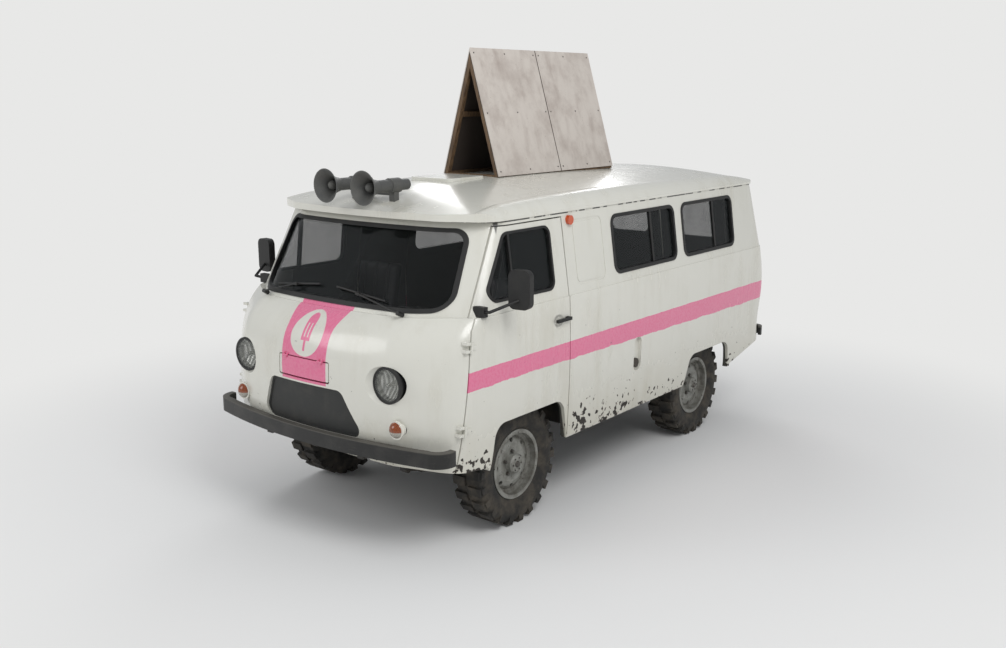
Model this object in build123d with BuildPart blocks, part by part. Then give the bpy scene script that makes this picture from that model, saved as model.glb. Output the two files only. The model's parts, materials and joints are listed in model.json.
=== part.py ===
from build123d import *
from math import asin, atan2, cos, hypot, radians, sin, sqrt
import os

# Ice cream truck: a forward-control four-wheel-drive van with an A-board sign and two horn
# speakers on its roof. Millimetres. The front faces -Y, the driver's left is +X, Z is up, and
# the origin is on the ground, midway along the vehicle.

# Driving dimensions
length = 4340.0
wheelbase = 2300.0
front_overhang = 980.0
track = 1500.0
wall = 40.0             # thickness of a door, a side or the tail
roof_wall = 30.0
door_gap = 8.0
leaf_gap = 5.0          # from the centre line to the edge of each rear door
edge_room = 7.0         # between a door and the floor or dashboard inside it
sill_z = 475.0
belt_z = 1408.0
gutter_z = 1925.0

front_axle_y = front_overhang - length / 2
rear_axle_y = front_axle_y + wheelbase
front_y = -length / 2
tail_y = length / 2

# Wheels and tyres
tyre_radius = 386.0
tyre_width = 225.0
lug_height = 15.0
lug_count = 22
seat_gap = 0.3          # between a moving piece and the seat it rests on
bead_radius = 203.0
rim_width = 165.0
axle_z = tyre_radius
kingpin_x = 640.0
steer_limit = 27.0
wheel_x = track / 2

# Body plan outline at each height. nose, cheek and corner lie ahead of the front axle, tail
# lies behind the rear axle.
# columns: z, half width, nose, cheek x, cheek, corner, tail
lower_rows = (
    (sill_z, 941, 895, 640, 840, 690, 935),
    (720, 960, 935, 650, 868, 690, 957),
    (1000, 969, 972, 655, 893, 665, 985),
    (1150, 969, 965, 650, 886, 640, 993),
    (1270, 967, 928, 640, 848, 600, 975),
    (1350, 965, 862, 620, 795, 550, 957),
    (belt_z, 962, 778, 600, 735, 490, 946),
)
upper_rows = (
    (belt_z, 956, 764, 600, 718, 440, 944),
    (gutter_z, 884, 412, 600, 362, 230, 845),
)
roof_outline = (gutter_z, 893, 490, 620, 438, 300, 853)
# columns: y behind the front axle, crown z, shoulder z, how far the shoulder stands in
roof_stations = (
    (-560, 1937, 1934, 70),
    (-430, 1984, 1956, 90),
    (-250, 2034, 1990, 115),
    (60, 2082, 2018, 135),
    (550, 2103, 2030, 145),
    (1400, 2101, 2028, 145),
    (2300, 2082, 2015, 140),
    (2860, 2050, 1995, 125),
    (3060, 2006, 1968, 105),
    (3230, 1945, 1938, 80),
)
roof_lip = 14.0
cheek_radius = 260.0
corner_radius = 180.0
tail_radius = 120.0


def aft(distance):
    """Y of a point this far behind the front axle."""
    return front_axle_y + distance


def behind(distance):
    """Y of a point this far behind the rear axle."""
    return rear_axle_y + distance


def outline(z, half_width, nose, cheek_x, cheek, corner, tail, rounding=1.0):
    """Closed plan outline of the body at height z, bowed in front and square at the tail."""
    nose_y, cheek_y, corner_y, end_y = aft(-nose), aft(-cheek), aft(-corner), behind(tail)
    with BuildSketch(Plane.XY.offset(z)) as plan:
        with BuildLine():
            bow = ThreePointArc((-cheek_x, cheek_y), (0, nose_y), (cheek_x, cheek_y))
            Polyline(
                bow @ 1,
                (half_width, corner_y),
                (half_width, end_y),
                (-half_width, end_y),
                (-half_width, corner_y),
                bow @ 0,
            )
        make_face()
        points = plan.vertices()
        fillet([p for p in points if abs(p.Y - cheek_y) < 0.01], cheek_radius * rounding)
        fillet([p for p in plan.vertices() if abs(p.Y - corner_y) < 0.01], corner_radius * rounding)
        fillet([p for p in plan.vertices() if abs(p.Y - end_y) < 0.01], tail_radius * rounding)
    return plan.sketch


def body_solid(rows, inset, below=0.0, above=0.0):
    """Solid through the rows' outlines, drawn in all round by inset."""
    with BuildPart() as solid:
        last = len(rows) - 1
        for i, (z, half_width, nose, cheek_x, cheek, corner, tail) in enumerate(rows):
            height = z - below if i == 0 else z + above if i == last else z
            add(outline(height, half_width - inset, nose - inset, cheek_x - 0.3 * inset,
                        cheek - inset, corner - 0.55 * inset, tail - inset))
        loft()
    return solid.part


def roof_solid(inset, drop):
    """Domed solid under the roof's skin, drawn in by inset and lowered by drop."""
    z, half_width, nose, cheek_x, cheek, corner, tail = roof_outline
    side = half_width - inset
    base = gutter_z - drop
    with BuildPart() as solid:
        for distance, crown, shoulder, stand in roof_stations:
            with BuildSketch(Plane.XZ.offset(-aft(distance))):
                with BuildLine():
                    top = ThreePointArc((-(side - stand), shoulder - drop), (0, crown - drop),
                                        (side - stand, shoulder - drop))
                    rise = shoulder - gutter_z - roof_lip
                    mid = (side - 0.28 * stand, base + roof_lip + 0.62 * rise)
                    right = ThreePointArc(top @ 1, mid, (side, base + roof_lip))
                    left = ThreePointArc((-side, base + roof_lip), (-mid[0], mid[1]), top @ 0)
                    Polyline(right @ 1, (side, base), (-side, base), left @ 0)
                make_face()
        loft()
        with BuildSketch(Plane.XY.offset(base - 10), mode=Mode.PRIVATE) as plan:
            add(outline(0, side, nose - inset, cheek_x - 0.3 * inset, cheek - inset,
                        corner - 0.55 * inset, tail - inset))
        add(extrude(plan.sketch, amount=300, mode=Mode.PRIVATE), mode=Mode.INTERSECT)
    return solid.part


def side_prism(points, radius=0.0, x_from=-1200.0, x_to=1200.0, rounded=None):
    """Prism along X through a closed outline of (y, z) points, its corners rounded."""
    with BuildPart() as prism:
        with BuildSketch(Plane.YZ.offset(x_from)) as face:
            with BuildLine():
                Polyline(*points, close=True)
            make_face()
            if radius > 0:
                corners = face.vertices()
                if rounded is not None:
                    wanted = [points[i] for i in rounded]
                    corners = [v for v in corners
                               if min(hypot(v.X - y, v.Y - z) for y, z in wanted) < 0.01]
                fillet(corners, radius)
        extrude(amount=x_to - x_from)
    return prism.part


def front_prism(points, radius, y_from, y_to):
    """Prism along Y through a closed outline of (x, z) points, its corners rounded."""
    with BuildPart() as prism:
        with BuildSketch(Plane.XZ.offset(-y_from)) as face:
            with BuildLine():
                Polyline(*points, close=True)
            make_face()
            if radius > 0:
                fillet(face.vertices(), radius)
        extrude(amount=-(y_to - y_from))
    return prism.part


def grown(points, amount):
    """The corner points of a convex outline, moved out by amount."""
    count = len(points)
    turn = sum(points[i][0] * points[(i + 1) % count][1] - points[(i + 1) % count][0] * points[i][1]
               for i in range(count))
    sign = 1 if turn > 0 else -1
    result = []
    for i in range(count):
        (ax, ay), (bx, by), (cx, cy) = points[i - 1], points[i], points[(i + 1) % count]
        first, second = hypot(bx - ax, by - ay), hypot(cx - bx, cy - by)
        n1 = (sign * (by - ay) / first, -sign * (bx - ax) / first)
        n2 = (sign * (cy - by) / second, -sign * (cx - bx) / second)
        scale = amount / (1 + n1[0] * n2[0] + n1[1] * n2[1])
        result.append((bx + (n1[0] + n2[0]) * scale, by + (n1[1] + n2[1]) * scale))
    return result


def save(part, name):
    part.label = name
    export_step(part, f"parts/{name}.step")


def block(x0, x1, y0, y1, z0, z1):
    """Plain box between two corners, added to the part that is open."""
    with Locations(((x0 + x1) / 2, (y0 + y1) / 2, (z0 + z1) / 2)):
        Box(x1 - x0, y1 - y0, z1 - z0)


os.makedirs("parts", exist_ok=True)

# Openings in the body, as (y, z) or (x, z) corner points
arch_top_z = 750.0
rear_arch_top_z = 705.0
front_arch = [(aft(-404), 380), (aft(-348), arch_top_z), (aft(330), arch_top_z), (aft(404), 380)]
rear_arch = [(behind(-400), 380), (behind(-285), rear_arch_top_z),
             (behind(330), rear_arch_top_z), (behind(390), 380)]
arch_radius = 100.0
pillar_top_y = aft(-238)
front_door_edge = ((aft(-679), 480), (aft(-578), 1250), (aft(-545), 1345), (aft(-491), belt_z + 6),
                   (pillar_top_y, 1893))
door_end_y = aft(385)
front_door = list(front_door_edge) + [(door_end_y, 1893), (door_end_y, 480)]
front_doorway = [(front_door_edge[0][0] - door_gap - 11, 400)]
front_doorway += [(y - door_gap, z) for y, z in front_door_edge[1:-1]]
front_doorway += [(pillar_top_y - door_gap, 1893 + door_gap), (door_end_y + door_gap, 1893 + door_gap),
                  (door_end_y + door_gap, 400)]
window_bottom_z, window_top_z = 1466.0, 1863.0
door_window = [(aft(-425), window_bottom_z + 8), (aft(-198), window_top_z),
               (aft(255), window_top_z), (aft(255), window_bottom_z)]
windscreen = [(-805, 1430), (805, 1430), (758, 1884), (-758, 1884)]
grille_hole = [(-442, 700), (442, 700), (300, 980), (-300, 980)]
flap = [(-210, 1015), (210, 1015), (210, 1128), (-210, 1128)]
flap_hole = [(-217, 1005), (217, 1005), (217, 1135), (-217, 1135)]
flap_thickness = 18.0
# columns: front edge behind the front axle, rear edge
side_windows = ((937, 1786), (1886, 2704))
side_door_y = (aft(905), aft(1735))
side_door = [(side_door_y[0], 492), (side_door_y[1], 492), (side_door_y[1], 1893), (side_door_y[0], 1893)]
side_door_window = [(aft(985), window_bottom_z), (aft(1655), window_bottom_z),
                    (aft(1655), window_top_z), (aft(985), window_top_z)]
tail_seam = ((behind(835), 300), (behind(835), 1150), (behind(712), 1990))
rear_door_half, rear_door_z = 620.0, (735.0, 1868.0)
rear_window_x, rear_window_z = (130.0, 520.0), (1440.0, 1790.0)
windscreen_radius, window_radius = 100.0, 70.0

# Shells that the panels are cut from
lower_shell = body_solid(lower_rows, 0) - body_solid(lower_rows, wall, 1, 1)
upper_shell = body_solid(upper_rows, 0) - body_solid(upper_rows, wall, 1, 1)
cabin_space = body_solid(lower_rows, wall, 1, 1)
edge_shell = body_solid(lower_rows, wall - 2, 1, 1) - body_solid(lower_rows, wall + edge_room, 2, 2)
door_room = edge_shell & side_prism([(aft(-760), 400), (aft(-760), 1500), (aft(400), 1500), (aft(400), 400)])
door_room += edge_shell & side_prism([(side_door_y[0] - 15, 400), (side_door_y[1] + 15, 400),
                                      (side_door_y[1] + 15, 1500), (side_door_y[0] - 15, 1500)],
                                     x_from=-1200, x_to=0)
glass_shell = body_solid(upper_rows, 12) - body_solid(upper_rows, 18, 1, 1)
seal_shell = body_solid(upper_rows, -5) - body_solid(upper_rows, 26, 1, 1)
with BuildPart() as shell:
    add(lower_shell)
    add(upper_shell)
    lower_trim = side_prism([(aft(-1200), 300), (aft(-1200), 617), (aft(-697), 541), (aft(-397), 498),
                             (aft(-397), 300)])
    rear_trim = side_prism([(behind(410), 300), (behind(410), 497), (behind(1100), 656),
                            (behind(1100), 300)])
    add([lower_trim, rear_trim, side_prism(front_arch, arch_radius, rounded=(1, 2)),
         side_prism(rear_arch, arch_radius, rounded=(1, 2))], mode=Mode.SUBTRACT)

# Outside hinges: a knuckle on the door's strap between two on the frame's, round one pin
# columns: barrel radius, pin radius, strap length, half length of the middle knuckle, half length
door_hinge_size = (8.0, 4.0, 44.0, 13.0, 30.0)
flap_hinge_size = (5.0, 2.5, 16.0, 9.0, 20.0)
pin_clearance = 0.05
strap_inset, strap_depth = 2.0, 40.0


def hinge_halves(point, axis, along, outward, places, size):
    """The door's halves and the frame's halves of the hinges on one axis, clear of the body's skin."""
    barrel, pin, strap, middle, half_length = size
    base = Plane(point, x_dir=(along - axis * along.dot(axis)).normalized(), z_dir=axis)
    inward = 1 if base.y_dir.dot(outward) < 0 else -1
    outer_levels = ((-half_length, -middle - seat_gap), (middle + seat_gap, half_length))
    halves = []
    for toward, levels in ((1, ((-middle, middle),)), (-1, outer_levels)):
        with BuildPart() as half:
            for place in places:
                for low, high in levels:
                    with BuildSketch(base.offset(place + low)):
                        Circle(barrel)
                        with Locations((toward * strap / 2, inward * (strap_inset + strap_depth / 2))):
                            Rectangle(strap, strap_depth)
                        if toward > 0:
                            Circle(pin + pin_clearance, mode=Mode.SUBTRACT)
                    extrude(amount=high - low)
                if toward < 0:
                    with BuildSketch(base.offset(place - half_length)):
                        Circle(pin)
                    extrude(amount=2 * half_length)
            add(shell.part, mode=Mode.SUBTRACT)
        halves.append(half.part)
    return halves


front_hinge_x, side_hinge_x, rear_hinge_x = 973.0, 976.0, rear_door_half + 5
seam_foot, seam_knee = front_door_edge[0], front_door_edge[1]
seam_slope = (seam_knee[0] - seam_foot[0]) / (seam_knee[1] - seam_foot[1])
seam_axis = Vector(0, seam_slope, 1).normalized()
tail_axis = Vector(0, -81, rear_door_z[1] - rear_door_z[0]).normalized()
up_axis, back, across = Vector(0, 0, 1), Vector(0, 1, 0), Vector(1, 0, 0)
front_hinge_y = seam_foot[0] + seam_slope * (belt_z - seam_foot[1]) - 3
front_hinge_places = (-626, -149)
# columns: name, a point on the axis, axis, direction to the door, outward, places along the axis, size
hinge_rows = (
    ("front_left", Vector(front_hinge_x, front_hinge_y, belt_z), seam_axis, back, across,
     front_hinge_places, door_hinge_size),
    ("side", Vector(-side_hinge_x, side_door_y[0] - door_gap / 2, 1200), up_axis, back, -across,
     (-560, 110), door_hinge_size),
    ("rear_left", Vector(rear_hinge_x, tail_y - 55, 1015), tail_axis, -across, back,
     (-20, 290), door_hinge_size),
    ("flap", Vector(0, aft(-973), 1131), across, -up_axis, -back, (-150, 150), flap_hinge_size),
)
leaf_hinges, frame_hinges = {}, {}
for name, point, axis, along, outward, places, size in hinge_rows:
    leaf_hinges[name], frame_hinges[name] = hinge_halves(point, axis, along, outward, places, size)
for name in ("front", "rear"):
    leaf_hinges[f"{name}_right"] = leaf_hinges[f"{name}_left"].mirror(Plane.YZ)
    frame_hinges[f"{name}_right"] = frame_hinges[f"{name}_left"].mirror(Plane.YZ)

# Front panel: nose, windscreen frame and front pillars
lamp_x, lamp_z, lamp_radius = 611.0, 1050.0, 108.0
signal_x, signal_z, signal_radius = 669.0, 800.0, 43.0
strap_x, strap_slot = 400.0, 58.0
lamp_face_y = aft(-893)
signal_face_y = aft(-880)
front_end = [(front_y - 100, 300), (pillar_top_y, 300), (pillar_top_y, 2000), (front_y - 100, 2000)]
with BuildPart() as front_panel:
    add(shell.part)
    add(side_prism(front_end), mode=Mode.INTERSECT)
    with BuildPart(mode=Mode.PRIVATE) as cuts:
        for side in (-1, 1):
            with Locations(Location((side * lamp_x, lamp_face_y, lamp_z), (90, 0, 0))):
                Cylinder(lamp_radius, 400)
                Cone(lamp_radius, lamp_radius + 34, 50, align=(Align.CENTER, Align.CENTER, Align.MIN))
            with Locations(Location((side * signal_x, signal_face_y, signal_z), (90, 0, 0))):
                Cylinder(signal_radius, 400)
            with Locations((side * strap_x, aft(-860), 570)):
                Box(strap_slot, 120, 64)
    add([side_prism(front_doorway), front_prism(windscreen, windscreen_radius, front_y - 50, pillar_top_y),
         front_prism(grille_hole, 60, front_y - 50, aft(-600)),
         front_prism(flap_hole, 14, front_y - 50, aft(-600)), cuts.part], mode=Mode.SUBTRACT)
    add([frame_hinges[name] for name in ("front_left", "front_right", "flap")])
save(front_panel.part, "front_panel")

# Nose flap over the radiator filler, hinged along its top edge
with BuildPart() as nose_flap:
    add(body_solid(lower_rows, 0) - body_solid(lower_rows, flap_thickness, 1, 1))
    add(front_prism(flap, 9, front_y - 50, aft(-600)), mode=Mode.INTERSECT)
    add(leaf_hinges["flap"])
save(nose_flap.part, "nose_flap")

# Side panels, from the front pillar to the tail seam
side_region = [(pillar_top_y, 300), (tail_seam[0][0], tail_seam[0][1]), tail_seam[1], tail_seam[2],
               (pillar_top_y, 1990)]


def window_points(front, rear):
    return [(aft(front), window_bottom_z), (aft(rear), window_bottom_z),
            (aft(rear), window_top_z), (aft(front), window_top_z)]


blank_y = (aft(573 - 86), aft(828))
filler_y, filler_z, filler_radius = aft(1222), (800.0, 945.0), 48.0

blank = [(blank_y[0], window_bottom_z - 6), (blank_y[1], window_bottom_z - 6),
         (blank_y[1], window_top_z + 6), (blank_y[0], window_top_z + 6)]
groove_depth, groove_width = 3.0, 16.0
groove_shell = body_solid(upper_rows, -5) - body_solid(upper_rows, groove_depth, 1, 1)
with BuildPart() as groove:
    add(groove_shell)
    add(side_prism(blank, 48), mode=Mode.INTERSECT)
    add(side_prism(grown(blank, -groove_width), 34), mode=Mode.SUBTRACT)
pressed_groove = groove.part

for side, name in ((1, "side_panel_left"), (-1, "side_panel_right")):
    x_from, x_to = (0, 1200) if side > 0 else (-1200, 0)
    with BuildPart() as side_panel:
        add(shell.part)
        add(side_prism(side_region, x_from=x_from, x_to=x_to), mode=Mode.INTERSECT)
        windows = side_windows if side > 0 else side_windows[1:]
        add([side_prism(front_doorway), pressed_groove] +
            [side_prism(window_points(front, rear), window_radius) for front, rear in windows],
            mode=Mode.SUBTRACT)
        if side > 0:
            with BuildSketch(Plane.YZ.offset(940)):
                with Locations((filler_y, (filler_z[0] + filler_z[1]) / 2)):
                    SlotOverall(filler_z[1] - filler_z[0] + 2 * filler_radius, 2 * filler_radius,
                                rotation=90)
            extrude(amount=60, mode=Mode.SUBTRACT)
        else:
            add(side_prism([(side_door_y[0] - door_gap, 480), (side_door_y[1] + door_gap, 480),
                            (side_door_y[1] + door_gap, 1893 + door_gap),
                            (side_door_y[0] - door_gap, 1893 + door_gap)], x_from=-1200, x_to=0),
                mode=Mode.SUBTRACT)
            add(frame_hinges["side"])
    save(side_panel.part, name)

# Tail frame round the two rear doors
with BuildPart() as tail_frame:
    add(shell.part)
    add(side_prism([tail_seam[0], (tail_y + 100, 300), (tail_y + 100, 1990), tail_seam[2], tail_seam[1]]),
        mode=Mode.INTERSECT)
    opening = [(-rear_door_half - door_gap, rear_door_z[0] - door_gap),
               (rear_door_half + door_gap, rear_door_z[0] - door_gap),
               (rear_door_half + door_gap, rear_door_z[1] + door_gap),
               (-rear_door_half - door_gap, rear_door_z[1] + door_gap)]
    add(front_prism(opening, 60 + door_gap, behind(500), tail_y + 200), mode=Mode.SUBTRACT)
    add([frame_hinges["rear_left"], frame_hinges["rear_right"]])
save(tail_frame.part, "tail_frame")

# Roof: a domed skin with a brow over the windscreen and a gutter lip along each side
hatch_half, hatch_y, hatch_radius = 180.0, (aft(165), aft(525)), 40.0
hatch_hole_z = 2000.0
roof_outer = roof_solid(0, 0)
with BuildPart() as roof:
    add(roof_outer)
    add(roof_solid(roof_wall, roof_wall), mode=Mode.SUBTRACT)
    with BuildSketch(Plane.XY.offset(hatch_hole_z)):
        with Locations((0, sum(hatch_y) / 2)):
            RectangleRounded(2 * hatch_half - 60, hatch_y[1] - hatch_y[0] - 60, hatch_radius)
    extrude(amount=200, mode=Mode.SUBTRACT)
save(roof.part, "roof")

# Roof vent hatch: a shallow lid over a framed hole, hinged at its rear edge
hatch_z = (2070.0, 2112.0)
with BuildPart() as roof_hatch:
    with BuildSketch(Plane.XY.offset(hatch_z[0])):
        with Locations((0, sum(hatch_y) / 2)):
            RectangleRounded(2 * hatch_half, hatch_y[1] - hatch_y[0], hatch_radius)
    extrude(amount=hatch_z[1] - hatch_z[0])
    fillet(roof_hatch.faces().sort_by(Axis.Z)[-1].edges(), 5)
    with BuildSketch(Plane.XY.offset(hatch_z[0])):
        with Locations((0, sum(hatch_y) / 2)):
            RectangleRounded(2 * hatch_half - 24, hatch_y[1] - hatch_y[0] - 24, hatch_radius - 12)
    extrude(amount=hatch_z[1] - hatch_z[0] - 8, mode=Mode.SUBTRACT)
    add(roof_outer.moved(Location((0, 0, seat_gap))), mode=Mode.SUBTRACT)
save(roof_hatch.part, "roof_hatch")


# Front doors, with the window cut and the wheel arch taken out of the lower edge. A door's free
# edge is cut back towards its inner face, so that it clears the pillar as it swings.
def edge_relief(side, edge_y, sections):
    """Cutter along a door's free edge, from rows of z, skin half width, outer cut, inner cut."""
    with BuildPart() as cutter:
        for z, skin, outer_cut, inner_cut in sections:
            with BuildSketch(Plane.XY.offset(z)):
                with BuildLine():
                    Polyline((side * (skin + 20), edge_y - outer_cut), (side * skin, edge_y - outer_cut),
                             (side * (skin - wall), edge_y - inner_cut),
                             (side * (skin - wall - 20), edge_y - inner_cut),
                             (side * (skin - wall - 20), edge_y + 30), (side * (skin + 20), edge_y + 30),
                             close=True)
                make_face()
        loft(ruled=True)
    return cutter.part


def door_handle(place):
    """Bar handle on one foot. Its place is on the skin, with X outwards and the bar running ahead."""
    with BuildPart(mode=Mode.PRIVATE) as handle:
        with Locations(place * Location((19, -50, 0))):
            Box(16, 150, 20)
        with Locations(place):
            Box(30, 26, 26)
    return handle.part


def door_from(points, window, radius, side, edge_y, low_cut, high_cut, hinges):
    """Door leaf cut from the body shell, with its window opening and relieved free edge."""
    x_from, x_to = (0, 1200) if side > 0 else (-1200, 0)
    with BuildPart() as leaf:
        add(shell.part)
        add(side_prism(points, x_from=x_from, x_to=x_to), mode=Mode.INTERSECT)
        add([side_prism(window, radius),
             edge_relief(side, edge_y, ((sill_z - 10, 941, 0, low_cut), (belt_z, 962, 0, low_cut))),
             edge_relief(side, edge_y, ((belt_z, 956, 0, low_cut), (gutter_z, 884, *high_cut)))],
            mode=Mode.SUBTRACT)
        add(hinges)
    return leaf.part


def save_pair(part, name):
    """Save a part of the left side, and its mirror image for the right."""
    save(part, f"{name}_left")
    save(part.mirror(Plane.YZ), f"{name}_right")


window_bar_y, window_bar_half = aft(-161), 8.0
door_seal_shell = body_solid(upper_rows, -4) - body_solid(upper_rows, 26, 1, 1)
front_door_leaf = door_from(front_door, door_window, 62, 1, door_end_y, 3, (4, 10),
                            leaf_hinges["front_left"])
save_pair(front_door_leaf, "front_door")
with BuildPart() as door_glass:
    add(glass_shell)
    add(side_prism(grown(door_window, -16), 46, x_from=0), mode=Mode.INTERSECT)
save_pair(door_glass.part, "front_door_glass")
with BuildPart() as door_window_bar:
    add(door_seal_shell)
    add(side_prism([(window_bar_y - window_bar_half, window_bottom_z),
                    (window_bar_y + window_bar_half, window_bottom_z),
                    (window_bar_y + window_bar_half, window_top_z),
                    (window_bar_y - window_bar_half, window_top_z)], x_from=0), mode=Mode.INTERSECT)
    add(door_glass.part, mode=Mode.SUBTRACT)

side_handle = door_handle(Location((-966, side_door_y[1] - 95, 1205), (0, 180, 0)))
save(door_from(side_door, side_door_window, window_radius, -1, side_door_y[1], 5, (5, 12),
               [leaf_hinges["side"], side_handle - shell.part]), "side_door")
with BuildPart() as side_door_glass:
    add(glass_shell)
    add(side_prism(side_door_window, window_radius, x_from=-1200, x_to=0), mode=Mode.INTERSECT)
save(side_door_glass.part, "side_door_glass")

# Rear doors, two leaves that meet on the centre line
both_leaves = [(-rear_door_half, rear_door_z[0]), (rear_door_half, rear_door_z[0]),
               (rear_door_half, rear_door_z[1]), (-rear_door_half, rear_door_z[1])]
rear_handle = Plane((-70, behind(989), 1130), x_dir=(0, 1, 0), z_dir=(1, 0, 0))
for side, name in ((1, "left"), (-1, "right")):
    leaf_x = sorted((side * leaf_gap, side * rear_door_half))
    pane_x = sorted((side * rear_window_x[0], side * rear_window_x[1]))
    leaf = [(leaf_x[0], rear_door_z[0]), (leaf_x[1], rear_door_z[0]),
            (leaf_x[1], rear_door_z[1]), (leaf_x[0], rear_door_z[1])]
    pane = [(pane_x[0], rear_window_z[0]), (pane_x[1], rear_window_z[0]),
            (pane_x[1], rear_window_z[1]), (pane_x[0], rear_window_z[1])]
    with BuildPart() as rear_door:
        add(shell.part)
        add(front_prism(leaf, 0, behind(500), tail_y + 200), mode=Mode.INTERSECT)
        add(front_prism(both_leaves, 60, behind(500), tail_y + 200), mode=Mode.INTERSECT)
        add(front_prism(pane, 50, behind(500), tail_y + 200), mode=Mode.SUBTRACT)
        with BuildSketch(Plane.XY.offset(rear_door_z[0] - 10)):
            with BuildLine():
                Polyline((0, behind(1000)), (side * leaf_gap, behind(1000)), (side * (leaf_gap + 5), behind(800)),
                         (0, behind(800)), close=True)
            make_face()
        extrude(amount=rear_door_z[1] - rear_door_z[0] + 20, mode=Mode.SUBTRACT)
        add(leaf_hinges[f"rear_{name}"])
        if side < 0:
            add(door_handle(rear_handle.location) - shell.part)
    save(rear_door.part, f"rear_door_{name}")
rear_pane = [(rear_window_x[0], rear_window_z[0]), (rear_window_x[1], rear_window_z[0]),
             (rear_window_x[1], rear_window_z[1]), (rear_window_x[0], rear_window_z[1])]
with BuildPart() as rear_glass:
    add(glass_shell)
    add(front_prism(rear_pane, 50, behind(500), tail_y + 200), mode=Mode.INTERSECT)
save_pair(rear_glass.part, "rear_door_glass")

# Fixed glass and the rubber that holds it
seal_width = 24.0


def between(shell_part, outer, inner=None):
    """The stretch of a shell inside one cutter and outside another."""
    with BuildPart() as piece:
        add(shell_part)
        add(outer, mode=Mode.INTERSECT)
        if inner is not None:
            add(inner, mode=Mode.SUBTRACT)
    return piece.part


def windscreen_prism(amount):
    return front_prism(grown(windscreen, -amount), windscreen_radius - amount, front_y - 50, pillar_top_y)


def window_prism(front, rear, side, amount):
    x_from, x_to = (0, 1200) if side > 0 else (-1200, 0)
    return side_prism(grown(window_points(front, rear), -amount), window_radius - amount,
                      x_from=x_from, x_to=x_to)


fixed_windows = [(front, rear, 1) for front, rear in side_windows]
fixed_windows += [(front, rear, -1) for front, rear in side_windows[1:]]
seal_parts = [between(seal_shell, windscreen_prism(0), windscreen_prism(seal_width))]
glass_parts = [between(glass_shell, windscreen_prism(seal_width))]
bar_shell = body_solid(upper_rows, 6) - body_solid(upper_rows, 24, 1, 1)
bar_share = 0.62        # the sliding pane's edge stands this far along a side window
bar_half = 12.0
for front, rear, side in fixed_windows:
    x_from, x_to = (0, 1200) if side > 0 else (-1200, 0)
    seal_parts.append(between(seal_shell, window_prism(front, rear, side, 0),
                              window_prism(front, rear, side, seal_width)))
    bar_y = aft(front + (rear - front) * bar_share)
    low, high = window_bottom_z + seal_width, window_top_z - seal_width
    bar = side_prism([(bar_y - bar_half, low), (bar_y + bar_half, low),
                      (bar_y + bar_half, high), (bar_y - bar_half, high)], x_from=x_from, x_to=x_to)
    glass_parts.append(between(glass_shell, window_prism(front, rear, side, seal_width), bar))
    seal_parts.append(between(bar_shell, bar))
with BuildPart() as window_rubbers:
    for piece in seal_parts:
        add(piece)
save(window_rubbers.part, "window_rubbers")
with BuildPart() as body_glass:
    for piece in glass_parts:
        add(piece)
save(body_glass.part, "body_glass")

# Grille: a bowed plate with a raised rim, leaning back into the nose opening
grille_lean = -7.4
grille_back, grille_thickness = 12.0, 9.0
grille_rim, grille_press = 14.0, 4.0
with BuildPart() as grille:
    with BuildSketch(Plane((0, aft(-933) + grille_back, 690), x_dir=(1, 0, 0),
                           z_dir=(0, sin(radians(grille_lean)), cos(radians(grille_lean))))):
        with BuildLine():
            face = ThreePointArc((-600, 58), (0, 0), (600, 58))
            back = ThreePointArc((600, 58 + grille_thickness), (0, grille_thickness), (-600, 58 + grille_thickness))
            Line(face @ 1, back @ 0)
            Line(back @ 1, face @ 0)
        make_face()
    extrude(amount=300)
    add(front_prism(grille_hole, 60, front_y - 50, aft(-600)), mode=Mode.INTERSECT)
    with BuildSketch(Plane((0, aft(-933) + grille_back, 690), x_dir=(1, 0, 0),
                           z_dir=(0, sin(radians(grille_lean)), cos(radians(grille_lean))))) as hollow:
        with BuildLine():
            front = ThreePointArc((-600, 58 + grille_press), (0, grille_press), (600, 58 + grille_press))
            Polyline(front @ 1, (600, -60), (-600, -60), front @ 0)
        make_face()
    with BuildPart(mode=Mode.PRIVATE) as pressing:
        extrude(hollow.sketch, amount=300)
        add(front_prism(grown(grille_hole, -grille_rim), 46, front_y - 50, aft(-600)), mode=Mode.INTERSECT)
    add(pressing.part, mode=Mode.SUBTRACT)
save(grille.part, "grille")


def dome(reach, bulge, start):
    """Arc of a shallow dome in half section: from its tip on the axis out to its edge."""
    radius = (reach * reach + bulge * bulge) / (2 * bulge)
    half = asin(reach / radius) / 2
    return ThreePointArc((0, start), (radius * sin(half), start + radius * (1 - cos(half))),
                         (reach, start + bulge))


# Headlamps: a bowl with its rim, and a domed lens in each
lens_radius = lamp_radius - 15
with BuildPart() as headlamps:
    for side in (-1, 1):
        with BuildSketch(Plane((side * lamp_x, lamp_face_y, lamp_z), x_dir=(1, 0, 0), z_dir=(0, 0, 1))):
            with BuildLine():
                Polyline((0, 88), (40, 84), (lens_radius - 6, 44), (lens_radius, 12), (lens_radius, -2),
                         (lamp_radius - 1, -2), (lamp_radius - 0.5, 16), (lens_radius + 6, 30),
                         (lens_radius, 52), (46, 94), (0, 98), close=True)
            make_face()
        revolve(axis=Axis((side * lamp_x, lamp_face_y, lamp_z), (0, 1, 0)))
save(headlamps.part, "headlamps")

with BuildPart() as lamp_lenses:
    for side in (-1, 1):
        with BuildSketch(Plane((side * lamp_x, lamp_face_y, lamp_z), x_dir=(1, 0, 0), z_dir=(0, 0, 1))):
            with BuildLine():
                front = dome(lens_radius - 0.5, 20, -20)
                rear = dome(lens_radius - 0.5, 20, -15)
                Line(front @ 1, rear @ 1)
                Line(rear @ 0, front @ 0)
            make_face()
        revolve(axis=Axis((side * lamp_x, lamp_face_y, lamp_z), (0, 1, 0)))
save(lamp_lenses.part, "lamp_lenses")

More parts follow.
